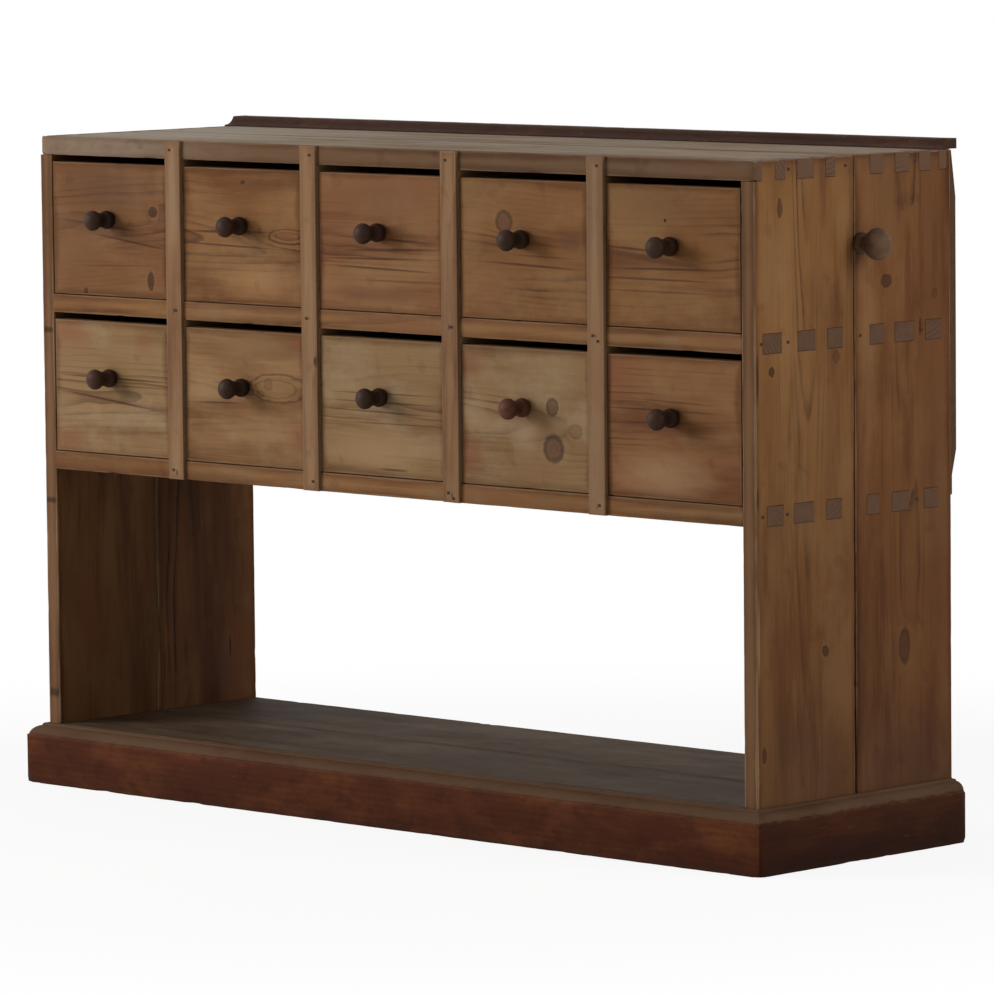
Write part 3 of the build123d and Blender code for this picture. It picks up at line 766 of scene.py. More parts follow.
@dataclass
class WornBoard:
    """A board whose edges are rubbed and chipped, shaped from its own construction solid."""

    node: str
    body: str
    slot: str
    grain: Grain
    wear: Wear
    insets: tuple[float, ...] = (0.0025, 0.007)
    sharp: float = 32.0

    def cut(self, solid: bmesh.types.BMesh, axis: int, place: float) -> None:
        """Divide every face that a plane across one axis goes through.

        Args:
            solid: the board.
            axis: the row axis that the plane stands across.
            place: where it stands on that axis.
        """
        normal = Vector((0.0, 0.0, 0.0))
        normal[axis] = 1.0
        parts = [*solid.verts, *solid.edges, *solid.faces]
        bmesh.ops.bisect_plane(solid, geom=parts, dist=MERGE, plane_co=normal * place,
                               plane_no=normal)

    def divide(self, solid: bmesh.types.BMesh) -> None:
        """Give the long edges enough points to be rubbed and chipped.

        Args:
            solid: the board.
        """
        low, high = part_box(self.node)
        along, across, through = self.grain.value
        length = high[along] - low[along]
        count = max(2, round(length / self.wear.spacing))
        for axis in (across, through):
            for inset in self.insets:
                if high[axis] - low[axis] > 4 * inset:
                    self.cut(solid, axis, low[axis] + inset)
                    self.cut(solid, axis, high[axis] - inset)
        for number in range(1, count):
            jitter = noise.noise(Vector((number * 1.7, self.wear.seed, 0.3))) * 0.3
            self.cut(solid, along, low[along] + length * (number + jitter) / count)

    def rub(self, solid: bmesh.types.BMesh) -> None:
        """Move the points near the edges inwards.

        Args:
            solid: the board.
        """
        low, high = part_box(self.node)
        wear = self.wear
        offset = Vector((wear.seed, 2 * wear.seed, -wear.seed))
        for vert in solid.verts:
            gaps = sorted((min(vert.co[a] - low[a], high[a] - vert.co[a]), a) for a in range(3))
            edge = gaps[1][0]
            if edge > wear.reach:
                continue
            rough = noise.noise(vert.co * 38.0 + offset)
            rough += 0.5 * noise.noise(vert.co * 90.0 - offset)
            bite = wear.rub * (0.5 + 0.5 * rough) + max(0.0, rough - wear.threshold) * wear.chip
            near = max(0.0, 1 - gaps[2][0] / (2 * wear.reach))
            bite = max(0.0, bite) + wear.corner * near * near
            share = (1 - edge / wear.reach) ** 2
            for _, axis in gaps[:2]:
                inward = 1.0 if vert.co[axis] - low[axis] < high[axis] - vert.co[axis] else -1.0
                vert.co[axis] += inward * bite * share

    def build(self) -> bpy.types.Object:
        """Shape the board.

        Returns:
            The board, which stands for its construction node.
        """
        solid = bmesh.new()
        solid.from_mesh(bpy.data.objects[self.node].data)
        bmesh.ops.remove_doubles(solid, verts=solid.verts, dist=MERGE)
        bmesh.ops.dissolve_limit(solid, angle_limit=math.radians(0.5), verts=solid.verts,
                                 edges=solid.edges)
        self.divide(solid)
        self.rub(solid)
        bmesh.ops.triangulate(solid, faces=[f for f in solid.faces if len(f.verts) > 4])
        board = set_down(solid, f"{self.node}_worn", self.sharp)
        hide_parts(self.node)
        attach(board, self.body)
        return board


@dataclass(frozen=True)
class KnobProfile:
    """The outline of a turned knob, in metres from the face that it sits on."""

    ball_radius: float
    ball_half: float
    ball_centre: float
    bead_radius: float
    bead_half: float
    bead_centre: float
    waist_radius: float
    lean: float
    steps: int = 14
    turns: int = 48
    sharp: float = 50.0

    def swell(self, radius: float, half: float, centre: float, first: float, last: float) -> list:
        """An elliptical stretch of the outline.

        Args:
            radius: its largest radius.
            half: half its length along the axis.
            centre: where its middle is on the axis.
            first: the angle that it begins at.
            last: the angle that it ends at.

        Returns:
            Its points, as (distance along the axis, radius).
        """
        angles = [first + (last - first) * s / self.steps for s in range(self.steps + 1)]
        return [(centre + half * math.sin(a), radius * math.cos(a)) for a in angles]

    def points(self) -> list[tuple[float, float]]:
        """The outline, from the face to the tip.

        Returns:
            Its points, as (distance along the axis, radius).
        """
        bead_low = math.asin(-self.bead_centre / self.bead_half)
        bead_high = math.acos(self.waist_radius / self.bead_radius)
        ball_low = -math.acos(self.waist_radius / self.ball_radius)
        bead = self.swell(self.bead_radius, self.bead_half, self.bead_centre, bead_low, bead_high)
        ball = self.swell(self.ball_radius, self.ball_half, self.ball_centre, ball_low, math.pi / 2)
        return [(0.0, 0.0), *bead, *ball[:-1], (ball[-1][0], 0.0)]

    def build(self, name: str, place: Vector, direction: Vector) -> bpy.types.Object:
        """Turn the knob.

        Args:
            name: the object's name.
            place: the middle of its base.
            direction: which way it points.

        Returns:
            The knob.
        """
        solid = bmesh.new()
        outline = [solid.verts.new((radius, 0.0, along)) for along, radius in self.points()]
        edges = [solid.edges.new(pair) for pair in zip(outline, outline[1:])]
        bmesh.ops.spin(solid, geom=outline + edges, cent=(0, 0, 0), axis=(0, 0, 1),
                       angle=2 * math.pi, steps=self.turns, use_merge=True)
        bmesh.ops.remove_doubles(solid, verts=solid.verts, dist=MERGE)
        bmesh.ops.recalc_face_normals(solid, faces=solid.faces)
        for vert in solid.verts:
            vert.co.x *= 1 - self.lean * (0.5 + 0.5 * math.sin(vert.co.z * 190.0))
        turn = direction.to_track_quat("Z", "Y").to_matrix().to_4x4()
        bmesh.ops.transform(solid, matrix=Matrix.Translation(place) @ turn, verts=solid.verts)
        return set_down(solid, name, self.sharp)


DRAWER_PROFILE = KnobProfile(0.0142, 0.0115, 0.0335, 0.0129, 0.0115, 0.0070, 0.0102, 0.012)
SIDE_PROFILE = KnobProfile(0.0210, 0.0160, 0.0320, 0.0145, 0.0090, 0.0045, 0.0100, 0.01)


@dataclass
class SubAssembly:
    """What every group of pieces shares: the frame, and ways to make a board or a knob."""

    frame: dict

    def slot_of(self, node: str) -> str:
        """The record's material slot of a construction node."""
        subparts = self.frame["record"]["subparts"]
        return next(entry["material_slot"] for entry in subparts if entry["node"] == node)

    def pine_board(self, node: str, grain: Grain, pine: Pine, log: Log,
                   marks: Sequence["Mark | Knot"], wear: Wear, body: str = "carcass") -> None:
        """Make and dress one board of bare or waxed pine.

        Args:
            node: the construction node that it stands for.
            grain: which way its fibres run.
            pine: its finish.
            log: where it lay in the tree.
            marks: its knots and stains, and any painted shade or sheen.
            wear: how worn its edges are.
            body: the body that it rides on.
        """
        wear = replace(wear, seed=log.seed)
        board = WornBoard(node, body, self.slot_of(node), grain, wear).build()
        dress(board, WoodShader(f"{node}_pine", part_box(node), grain, pine, log, marks).build())

    def stained_board(self, node: str, grain: Grain, stain: StainFinish, wear: Wear) -> None:
        """Make and stain one board."""
        board = WornBoard(node, "carcass", self.slot_of(node), grain, wear).build()
        dress(board, stain.build(f"{node}_stain", grain))

    def plain_board(self, node: str, grain: Grain, pine: Pine, log: Log) -> None:
        """Dress a construction node that keeps its own shape."""
        material = WoodShader(f"{node}_pine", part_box(node), grain, pine, log).build()
        dress(self.frame["nodes"][node], material)

    def knob(self, node: str, board: str, body: str, outward: Vector, profile: KnobProfile,
             finish: TurnedFinish) -> None:
        """Turn and dress one knob.

        Args:
            node: the construction node that it stands for.
            board: the board that it sits on.
            body: the body that it rides on.
            outward: which way it points, along a row axis.
            profile: its outline.
            finish: its finish.
        """
        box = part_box(node)
        axis = 0 if outward.x else 1
        end = 1 if outward[axis] > 0 else 0
        base = (box[0] + box[1]) / 2
        base[axis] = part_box(board)[end][axis]
        knob = profile.build(f"{node}_turned", base, outward)
        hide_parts(node)
        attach(knob, body)
        self.slot_of(node)
        dress(knob, finish.build(f"{node}_wood", axis, base[axis], box[end][axis]))


# ------------------------------------------------------------------------------ carcass
DARK_STREAK = (36, 21, 12)
RED_PATCH = (116, 69, 47)
PALE_PATCH = (168, 142, 108)
# The sides' marks are placed by their height, and by their depth from the front edge.
SIDE_LOGS = {
    "side_left_front_board": Log(0.01, 0.05, 0.02, 0.03, band=0.03, seed=3.1),
    "side_left_rear_board": Log(-0.05, 0.06, -0.02, 0.02, band=0.03, seed=5.7),
    "side_right_front_board": Log(0.005, -0.036, 0.004, 0.026, 0.0042, 0.005, 0.022, 8.4),
    "side_right_rear_board": Log(0.009, -0.040, -0.006, 0.012, 0.0050, 0.006, 0.020, 11.2),
}
SIDE_MARKS = {
    "side_right_front_board": [
        Knot(0.858, 0.049, 0.011, 0.0045), Knot(0.648, 0.032, 0.006, 0.005),
        Knot(0.278, 0.134, 0.007, 0.006), Knot(0.153, 0.014, 0.009, 0.004),
        Knot(0.660, 0.158, 0.008, 0.007, strength=0.5),
        Mark(0.640, 0.0045, 0.040, 0.0028, DARK_STREAK, 0.8),
        Mark(0.485, 0.0040, 0.018, 0.0022, DARK_STREAK, 0.7),
        Mark(0.300, 0.004, 0.060, 0.003, PALE_PATCH, 0.5),
        # The broad dark patch low down is partly patina, partly painted shade; the dark band at the
        # top is painted shadow under the top.
        Mark(0.12, 0.10, 0.10, 0.12, (60, 42, 30), 0.35),
        Mark(0.912, 0.10, 0.022, 0.14, (84, 58, 40), 0.4, 0.9),
        Mark(0.62, 0.150, 0.18, 0.028, (94, 62, 38), 0.35, 1.0),
        Mark(0.40, 0.040, 0.20, 0.024, (90, 58, 36), 0.35, 1.0),
        Mark(0.74, 0.060, 0.16, 0.024, (136, 100, 66), 0.35, 1.0),
    ],
    "side_right_rear_board": [
        Knot(0.753, 0.258, 0.008, 0.010, strength=0.8),
        Knot(0.732, 0.355, 0.007, 0.006, strength=0.6),
        Knot(0.270, 0.292, 0.022, 0.010, strength=0.7),
        Knot(0.760, 0.300, 0.060, 0.011, strength=0.0, bend=0.7),
        Knot(0.534, 0.300, 0.056, 0.011, strength=0.0, bend=0.7),
        Mark(0.760, 0.300, 0.055, 0.006, (84, 45, 22), 0.65),
        Mark(0.534, 0.300, 0.052, 0.007, (80, 43, 22), 0.65),
        Mark(0.690, 0.326, 0.013, 0.0026, DARK_STREAK, 0.9, 0.4),
        Mark(0.80, 0.345, 0.20, 0.030, (88, 54, 32), 0.45, 1.0),
        Mark(0.50, 0.350, 0.24, 0.036, (84, 52, 32), 0.45, 1.0),
        Mark(0.66, 0.222, 0.18, 0.020, (134, 100, 66), 0.35, 1.0),
        # The dark band at the top is painted shadow under the top; the broad dark patch low down is
        # partly patina, partly painted shade.
        Mark(0.915, 0.29, 0.020, 0.14, (84, 58, 40), 0.4, 0.9),
        Mark(0.10, 0.30, 0.09, 0.12, (56, 38, 28), 0.4),
    ],
    "side_left_front_board": [
        Mark(0.646, 0.0, 0.005, 0.002, DARK_STREAK, 0.7),
        Mark(0.404, 0.0, 0.005, 0.002, DARK_STREAK, 0.7),
        Mark(0.129, 0.0, 0.007, 0.002, DARK_STREAK, 0.7),
        Mark(0.24, 0.06, 0.08, 0.05, (96, 50, 30), 0.45, 1.0),
    ],
    "side_left_rear_board": [
        Mark(0.165, 0.336, 0.018, 0.0022, (30, 18, 12), 0.95, 0.4),
        Mark(0.135, 0.320, 0.050, 0.040, (64, 40, 28), 0.6, 1.0),
        Mark(0.300, 0.250, 0.090, 0.020, (104, 64, 38), 0.4, 1.0),
    ],
}
# The large pale patch over the left end is partly dust, partly painted sheen; the two darker
# patches are stains.
TOP_MARKS = (Mark(-0.58, 0.0, 0.34, 0.30, (168, 158, 145), 0.55, 1.0),
             Mark(0.10, -0.10, 0.30, 0.03, (112, 92, 72), 0.35, 1.0),
             Mark(0.30, 0.08, 0.34, 0.04, (120, 98, 78), 0.35, 1.0))


@dataclass
class Carcass(SubAssembly):
    """Sides, top, shelves, floor and back."""

    wear: Wear = Wear(rub=0.0004, chip=0.0035)
    side_wear: Wear = Wear(rub=0.0003, chip=0.0012)
    back_wear: Wear = Wear(rub=0.0001, chip=0.0)
    top_corner: float = 0.003
    seam_half: float = 0.0016
    seam_sag: float = 0.0003

    def sides(self) -> None:
        """The two upright boards of each side."""
        half = -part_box("side_right_front_board")[0].y
        for node, log in SIDE_LOGS.items():
            pine = FRONT_SIDE_PINE if "front" in node else REAR_SIDE_PINE
            marks = [replace(mark, across=mark.across - half) for mark in SIDE_MARKS[node]]
            self.pine_board(node, Grain.STANDING_SIDE, pine, log, marks, self.side_wear)

    def top(self) -> None:
        """The two boards of the top."""
        logs = {"front": Log(0.03, 0.04, 0.02, 0.03, seed=14.5),
                "rear": Log(-0.04, 0.06, seed=17.9)}
        wear = replace(self.wear, corner=self.top_corner)
        for part, log in logs.items():
            self.pine_board(f"top_{part}_board", Grain.LENGTHWISE_FLAT, TOP_PINE, log, TOP_MARKS,
                            wear)

    def shelves(self) -> None:
        """The middle shelf and the drawer deck."""
        for number, shelf in enumerate(("middle_shelf", "drawer_deck")):
            log = Log(0.03 * (1 - number), 0.05, 0.01, 0.02, seed=21.3 + 4.1 * number)
            for part in ("front", "rear"):
                self.pine_board(f"{shelf}_{part}_board", Grain.LENGTHWISE_FLAT, RAIL_PINE, log, (),
                                self.wear)

    def floor(self) -> None:
        """The floor of the open bay and what carries it."""
        logs = {"front": Log(0.02, 0.05, 0.01, 0.04, seed=31.0),
                "rear": Log(-0.03, 0.05, seed=34.6)}
        for part, log in logs.items():
            self.pine_board(f"floor_{part}_board", Grain.LENGTHWISE_FLAT, FLOOR_PINE, log, (),
                            self.wear)
        self.plain_board("floor_rear_rail", Grain.LENGTHWISE_UPRIGHT, BACK_PINE, Log(seed=37.1))
        self.plain_board("floor_bearer", Grain.BACKWARDS_UPRIGHT, BACK_PINE, Log(seed=38.8))

    def back(self) -> None:
        """The boards behind the drawer case."""
        for number, name in enumerate(("upper", "middle", "lower")):
            log = Log(0.02 - 0.02 * number, 0.04, 0.01, 0.04, seed=41.0 + 2.3 * number)
            self.pine_board(f"back_{name}_board", Grain.LENGTHWISE_UPRIGHT, BACK_PINE, log, (),
                            self.back_wear)

    def seam(self, name: str, node: str, low: Vector, high: Vector, grain: Grain) -> None:
        """Fill one seam between two boards with a strip of darker wood.

        Args:
            name: the piece's name.
            node: a board beside the seam.
            low: the filling's lowest corner.
            high: its highest corner.
            grain: which way the boards' fibres run.
        """
        solid = bmesh.new()
        bmesh.ops.create_cube(solid, size=1.0)
        bmesh.ops.subdivide_edges(solid, edges=solid.edges, cuts=3, use_grid_fill=True)
        across = grain.value[1]
        for vert in solid.verts:
            share = vert.co + Vector((0.5, 0.5, 0.5))
            vert.co = Vector([a + (b - a) * s for a, b, s in zip(low, high, share)])
            vert.co[across] += noise.noise(vert.co * 40.0) * self.seam_sag
        filling = set_down(solid, name)
        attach(filling, "carcass")
        self.slot_of(node)
        dress(filling, WoodShader(name, (low, high), grain, SEAM_PINE, Log()).build())

    def seams(self) -> None:
        """The tight seams of the back and of the left side."""
        half = self.seam_half
        names = ("upper", "middle", "lower")
        for upper, lower in zip(names, names[1:]):
            top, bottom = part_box(f"back_{upper}_board"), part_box(f"back_{lower}_board")
            height = (top[0].z + bottom[1].z) / 2
            low = Vector((top[0].x + 0.0003, bottom[0].y + 0.0001, height - half))
            high = Vector((top[1].x - 0.0003, bottom[1].y - 0.0001, height + half))
            self.seam(f"back_seam_{lower}", f"back_{lower}_board", low, high,
                      Grain.LENGTHWISE_UPRIGHT)
        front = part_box("side_left_front_board")
        depth = (front[1].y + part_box("side_left_rear_board")[0].y) / 2
        low = Vector((front[0].x + 0.006, depth - half, front[0].z + 0.001))
        high = Vector((front[1].x - 0.006, depth + half, front[1].z - 0.002))
        self.seam("side_seam_left", "side_left_front_board", low, high, Grain.STANDING_SIDE)

    def inner(self) -> None:
        """The dividers, the drawer stops and the nails."""
        self.plain_board("dividers", Grain.BACKWARDS_UPRIGHT, INNER_PINE, Log(seed=47.7))
        self.plain_board("drawer_stops", Grain.LENGTHWISE_FLAT, INNER_PINE, Log(seed=49.2))
        dress(self.frame["nodes"]["cut_nails"], IronFinish().build("cut_nail_iron"))

    def build(self) -> None:
        """Make all of it."""
        for part in (self.sides, self.top, self.shelves, self.floor, self.back, self.seams,
                     self.inner):
            part()


# ------------------------------------------------------------------------------ strips and plinth
MIDDLE_NAIL, DECK_NAIL = 0.6845, 0.459
STRIP_MARKS = {
    1: [Mark(MIDDLE_NAIL, -0.4003, 0.005, 0.0017, DARK_STREAK, 0.9),
        Mark(DECK_NAIL, -0.3985, 0.005, 0.0014, DARK_STREAK, 0.9)],
    2: [Mark(0.626, -0.122, 0.009, 0.004, DARK_STREAK, 0.8),
        Mark(MIDDLE_NAIL, -0.1330, 0.003, 0.0016, (88, 54, 34), 0.8)],
    3: [Mark(0.632, 0.143, 0.030, 0.004, (96, 62, 38), 0.7),
        Mark(MIDDLE_NAIL, 0.1334, 0.005, 0.0020, DARK_STREAK, 0.9),
        Mark(DECK_NAIL, 0.1354, 0.005, 0.0014, DARK_STREAK, 0.9)],
    4: [Mark(MIDDLE_NAIL, 0.4010, 0.003, 0.0018, (92, 58, 36), 0.8),
        Mark(DECK_NAIL, 0.4010, 0.004, 0.0018, (88, 56, 36), 0.8)],
}


@dataclass
class Front(SubAssembly):
    """The cover strips over the dividers."""

    strips: int = 4
    wear: Wear = Wear(rub=0.0003, chip=0.002, spacing=0.012)

    def build(self) -> None:
        """Make the strips."""
        for number in range(1, self.strips + 1):
            log = Log(0.02, 0.06 + 0.01 * number, 0.004, 0.01, 0.005, 0.010,
                      seed=51.0 + 1.9 * number)
            self.pine_board(f"divider_strip_{number}", Grain.STANDING_FRONT, STRIP_PINE, log,
                            STRIP_MARKS[number], self.wear)


@dataclass
class Plinth(SubAssembly):
    """The stained plinth and the stained rail along the rear of the top."""

    front_stain: StainFinish = StainFinish(shade=0.3)
    # The sides' stain is darker than the front's and darkens more towards the floor: painted shade
    # on the less lit sides.
    side_stain: StainFinish = StainFinish((54, 25, 11), (68, 35, 16), shade=0.7)
    rail_stain: StainFinish = StainFinish((60, 40, 32), (78, 54, 42), (104, 88, 74),
                                          lip_height=0.930, lip_share=0.3, foot_share=0.0)
    wear: Wear = Wear(rub=0.0005, chip=0.004, corner=0.0015)
    rail_wear: Wear = Wear(rub=0.0003, chip=0.0012, seed=66.0)

    def build(self) -> None:
        """Make the three plinth boards and the rear rail."""
        boards = {"front": (Grain.LENGTHWISE_UPRIGHT, self.front_stain),
                  "left": (Grain.BACKWARDS_UPRIGHT, self.side_stain),
                  "right": (Grain.BACKWARDS_UPRIGHT, self.side_stain)}
        for number, (name, (grain, stain)) in enumerate(boards.items()):
            self.stained_board(f"plinth_{name}", grain, replace(stain, seed=4.0 * number),
                               replace(self.wear, seed=61.0 + number))
        self.stained_board("top_upstand", Grain.LENGTHWISE_UPRIGHT, self.rail_stain, self.rail_wear)


@dataclass
class SideKnob(SubAssembly):
    """The large knob on the right side."""

    finish: TurnedFinish = TurnedFinish((56, 38, 26), (98, 74, 52), 0.4, 3.0)

    def build(self) -> None:
        """Turn and dress it."""
        self.knob("side_knob", "side_right_rear_board", "carcass", Vector((1, 0, 0)), SIDE_PROFILE,
                  self.finish)


# ------------------------------------------------------------------------------ drawers
@dataclass(frozen=True)
class DrawerFace:
    """The figure of one drawer's front: its log, its own tint and its marks."""

    log: Log
    pine: Pine = FRONT_PINE
    marks: tuple = ()
    knob: TurnedFinish = TurnedFinish()


def streak(x: float, z: float, half: float, thick: float = 0.0013, tilt: float = 0.0,
           strength: float = 0.6) -> Mark:
    """A long thin dark line of late wood."""
    return Mark(x, z, half, 1.35 * thick, (54, 29, 14), 1.25 * strength, 0.7, tilt)


def eye(x: float, z: float, half: float, thick: float, strength: float = 0.75) -> Mark:
    """A closed line of late wood round a lengthwise cut."""
    return Mark(x, z, half, thick, (58, 32, 16), strength, 0.12, 0.0, 0.10)


GREY_KNOT = (78, 52, 42)
DRAWER_FACES = {
    "upper_1": DrawerFace(Log(0.02, 0.03, 0.10, 0.02, seed=71.0), DARK_PINE, (
        Knot(-0.446, 0.819, 0.008, 0.007, bend=0.4),
        Knot(-0.452, 0.723, 0.006, 0.012, bend=0.4), Knot(-0.585, 0.704, 0.004, 0.004),
        Mark(-0.54, 0.85, 0.10, 0.045, (84, 58, 40), 0.5, 0.9),
        Mark(-0.60, 0.77, 0.05, 0.08, (98, 68, 44), 0.5, 1.0),
        Mark(-0.53, 0.788, 0.13, 0.010, (84, 52, 32), 0.5, 0.8, -0.12),
        streak(-0.55, 0.797, 0.09, 0.0016, -0.08), streak(-0.49, 0.776, 0.09, 0.0014, -0.12),
        streak(-0.52, 0.742, 0.08, 0.0010, 0.03, 0.4))),
    "upper_2": DrawerFace(Log(-0.01, 0.025, -0.04, 0.05, seed=73.2), FRONT_PINE, (
        Knot(-0.186, 0.795, 0.045, 0.012, (112, 70, 42), 0.0, 0.8),
        Mark(-0.182, 0.794, 0.022, 0.007, (104, 64, 36), 0.5, 0.6),
        eye(-0.176, 0.794, 0.040, 0.0105), eye(-0.178, 0.794, 0.024, 0.0055, 0.6),
        Knot(-0.265, 0.866, 0.004, 0.003, bend=0.2),
        streak(-0.30, 0.797, 0.10, 0.0016, 0.02), streak(-0.30, 0.778, 0.11, 0.0012, -0.02),
        streak(-0.27, 0.764, 0.10, 0.0010, 0.02, 0.4),
        Mark(-0.24, 0.735, 0.10, 0.035, (150, 114, 76), 0.6, 0.9))),
    "upper_3": DrawerFace(Log(0.015, 0.028, 0.03, -0.04, seed=75.9), RED_PINE, (
        Mark(0.0, 0.722, 0.12, 0.012, (92, 58, 38), 0.5),
        Mark(0.03, 0.86, 0.06, 0.03, RED_PATCH, 0.3),
        Mark(0.0, 0.855, 0.12, 0.035, (98, 68, 46), 0.4, 1.0),
        streak(0.0, 0.797, 0.11, 0.0014, -0.03), streak(0.02, 0.783, 0.10, 0.0018, 0.03),
        streak(-0.02, 0.770, 0.10, 0.0012, 0.02), streak(0.0, 0.757, 0.11, 0.0012, -0.02),
        streak(0.03, 0.741, 0.08, 0.0010, 0.0, 0.4))),
    "upper_4": DrawerFace(Log(-0.02, 0.03, -0.05, 0.03, seed=78.4), FRONT_PINE, (
        Knot(0.231, 0.828, 0.014, 0.014, (84, 54, 44), 0.7, 0.3),
        streak(0.27, 0.772, 0.11, 0.0014, -0.03), streak(0.30, 0.784, 0.07, 0.0010, -0.02, 0.4),
        Mark(0.352, 0.804, 0.02, 0.014, (86, 54, 36), 0.55),
        Mark(0.20, 0.74, 0.05, 0.05, (124, 84, 54), 0.4, 0.9))),
    "upper_5": DrawerFace(Log(0.01, 0.02, 0.06, 0.04, seed=80.7), FRONT_PINE, (
        Mark(0.50, 0.788, 0.085, 0.005, (74, 42, 24), 0.65, 0.6, -0.10),
        streak(0.47, 0.800, 0.07, 0.0014, -0.05), streak(0.52, 0.776, 0.11, 0.0012, 0.02),
        streak(0.50, 0.762, 0.12, 0.0012, 0.0, 0.5), streak(0.50, 0.746, 0.12, 0.001, 0.0, 0.4),
        Mark(0.50, 0.86, 0.11, 0.035, (94, 64, 40), 0.4, 1.0),
        Mark(0.520, 0.839, 0.003, 0.003, DARK_STREAK, 0.9, 0.4))),
    "lower_1": DrawerFace(Log(-0.015, 0.03, 0.04, 0.02, seed=83.1), PALE_PINE, (
        Mark(-0.62, 0.645, 0.05, 0.025, RED_PATCH, 0.5, 0.9),
        Mark(-0.63, 0.492, 0.05, 0.022, RED_PATCH, 0.5, 0.9),
        Mark(-0.47, 0.640, 0.02, 0.02, RED_PATCH, 0.4, 0.9),
        streak(-0.53, 0.583, 0.12, 0.0014, -0.01), streak(-0.50, 0.573, 0.08, 0.001, 0.0, 0.4),
        Mark(-0.53, 0.552, 0.13, 0.004, (100, 68, 44), 0.4, 0.7, -0.08),
        streak(-0.54, 0.552, 0.10, 0.0014, -0.10)),
        TurnedFinish((44, 26, 19), (66, 42, 31), 0.25)),
    "lower_2": DrawerFace(Log(0.0, 0.012, 0.01, 0.01, 0.006, 0.03, seed=85.5), MILD_PINE, (
        Knot(-0.220, 0.590, 0.008, 0.008, (86, 52, 34), 0.6, 0.1),
        Knot(-0.236, 0.576, 0.007, 0.005, (86, 52, 34), 0.6, 0.1),
        Knot(-0.205, 0.585, 0.062, 0.022, strength=0.0, bend=0.9),
        Mark(-0.205, 0.585, 0.06, 0.020, (130, 99, 64), 0.4, 0.5),
        eye(-0.200, 0.585, 0.062, 0.0215, 0.6), eye(-0.205, 0.584, 0.044, 0.0135, 0.4),
        Mark(-0.27, 0.640, 0.11, 0.028, (136, 108, 74), 0.45, 1.0),
        streak(-0.29, 0.588, 0.05, 0.0012, 0.0, 0.5), streak(-0.32, 0.560, 0.06, 0.001, 0.03),
        Mark(-0.160, 0.520, 0.035, 0.03, RED_PATCH, 0.6, 0.9),
        Mark(-0.163, 0.650, 0.02, 0.012, RED_PATCH, 0.5, 0.9))),
    "lower_3": DrawerFace(Log(0.02, 0.05, 0.02, -0.02, 0.005, seed=88.0), PALE_PINE, (
        streak(0.0, 0.588, 0.11, 0.001, 0.01, 0.5), streak(0.0, 0.576, 0.11, 0.0012, 0.0, 0.5),
        streak(0.0, 0.563, 0.11, 0.001, -0.01, 0.5), streak(0.02, 0.548, 0.10, 0.001, 0.01, 0.5),
        Mark(0.0, 0.510, 0.12, 0.040, (148, 120, 86), 0.5, 1.0),
        Mark(0.02, 0.486, 0.03, 0.002, DARK_STREAK, 0.6, 0.5))),
    "lower_4": DrawerFace(Log(-0.01, 0.025, -0.02, 0.03, seed=90.6), PALE_PINE, (
        Knot(0.316, 0.586, 0.010, 0.011, GREY_KNOT, 0.75, 0.1),
        Knot(0.318, 0.531, 0.017, 0.017, GREY_KNOT, 0.8, 0.15),
        Knot(0.357, 0.556, 0.012, 0.009, (92, 58, 38), 0.35, 0.25),
        Mark(0.267, 0.547, 0.035, 0.025, (140, 118, 94), 0.7, 0.9),
        Mark(0.162, 0.638, 0.03, 0.03, RED_PATCH, 0.5, 0.9),
        Mark(0.164, 0.516, 0.03, 0.03, RED_PATCH, 0.5, 0.9),
        Mark(0.30, 0.50, 0.05, 0.02, (112, 76, 54), 0.4, 0.9)),
        TurnedFinish((70, 37, 25), (96, 56, 40), 0.3)),
    "lower_5": DrawerFace(Log(0.02, 0.022, 0.03, 0.03, seed=93.3), RED_PINE, (
        Mark(0.428, 0.638, 0.035, 0.035, RED_PATCH, 0.6, 0.9),
        Mark(0.438, 0.504, 0.035, 0.03, RED_PATCH, 0.5, 0.9),
        Mark(0.52, 0.505, 0.10, 0.04, (146, 115, 84), 0.6, 0.9),
        streak(0.50, 0.592, 0.12, 0.0014, 0.0), streak(0.53, 0.604, 0.08, 0.001, -0.02, 0.4),
        streak(0.49, 0.575, 0.10, 0.0012, 0.03, 0.5))),
}


@dataclass
class Drawers(SubAssembly):
    """The ten drawers."""

    figure: float = 0.028
    wear: Wear = Wear(rub=0.0002, chip=0.0016, spacing=0.012)
    # A dark patch round each knob, a little right of its middle: partly grime of hands, partly the
    # knob's painted shadow.
    grime_and_knob_shadow: Mark = Mark(0.004, 0.012, 0.026, 0.022, (88, 58, 38), 0.35, 1.0)

    def build(self) -> None:
        """Make all ten, each with a dark patch round its knob: partly grime of hands, partly the
        knob's painted shadow.
        """
        for name, face in DRAWER_FACES.items():
            drawer = f"drawer_{name}"
            front, box, knob = [f"{drawer}_{part}" for part in ("front", "box", "knob")]
            low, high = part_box(front)
            middle = (low + high) / 2
            grime_and_knob_shadow = replace(self.grime_and_knob_shadow, along=middle.x + self.grime_and_knob_shadow.along,
                           across=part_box(knob)[0].z + self.grime_and_knob_shadow.across)
            log = replace(face.log, band=self.figure)
            self.pine_board(front, Grain.LENGTHWISE_UPRIGHT, face.pine, log, (*face.marks, grime_and_knob_shadow),
                            self.wear, drawer)
            self.plain_board(box, Grain.BACKWARDS_UPRIGHT, INNER_PINE, Log(seed=log.seed + 1.0))
            self.knob(knob, front, drawer, Vector((0, -1, 0)), DRAWER_PROFILE,
                      replace(face.knob, seed=log.seed))


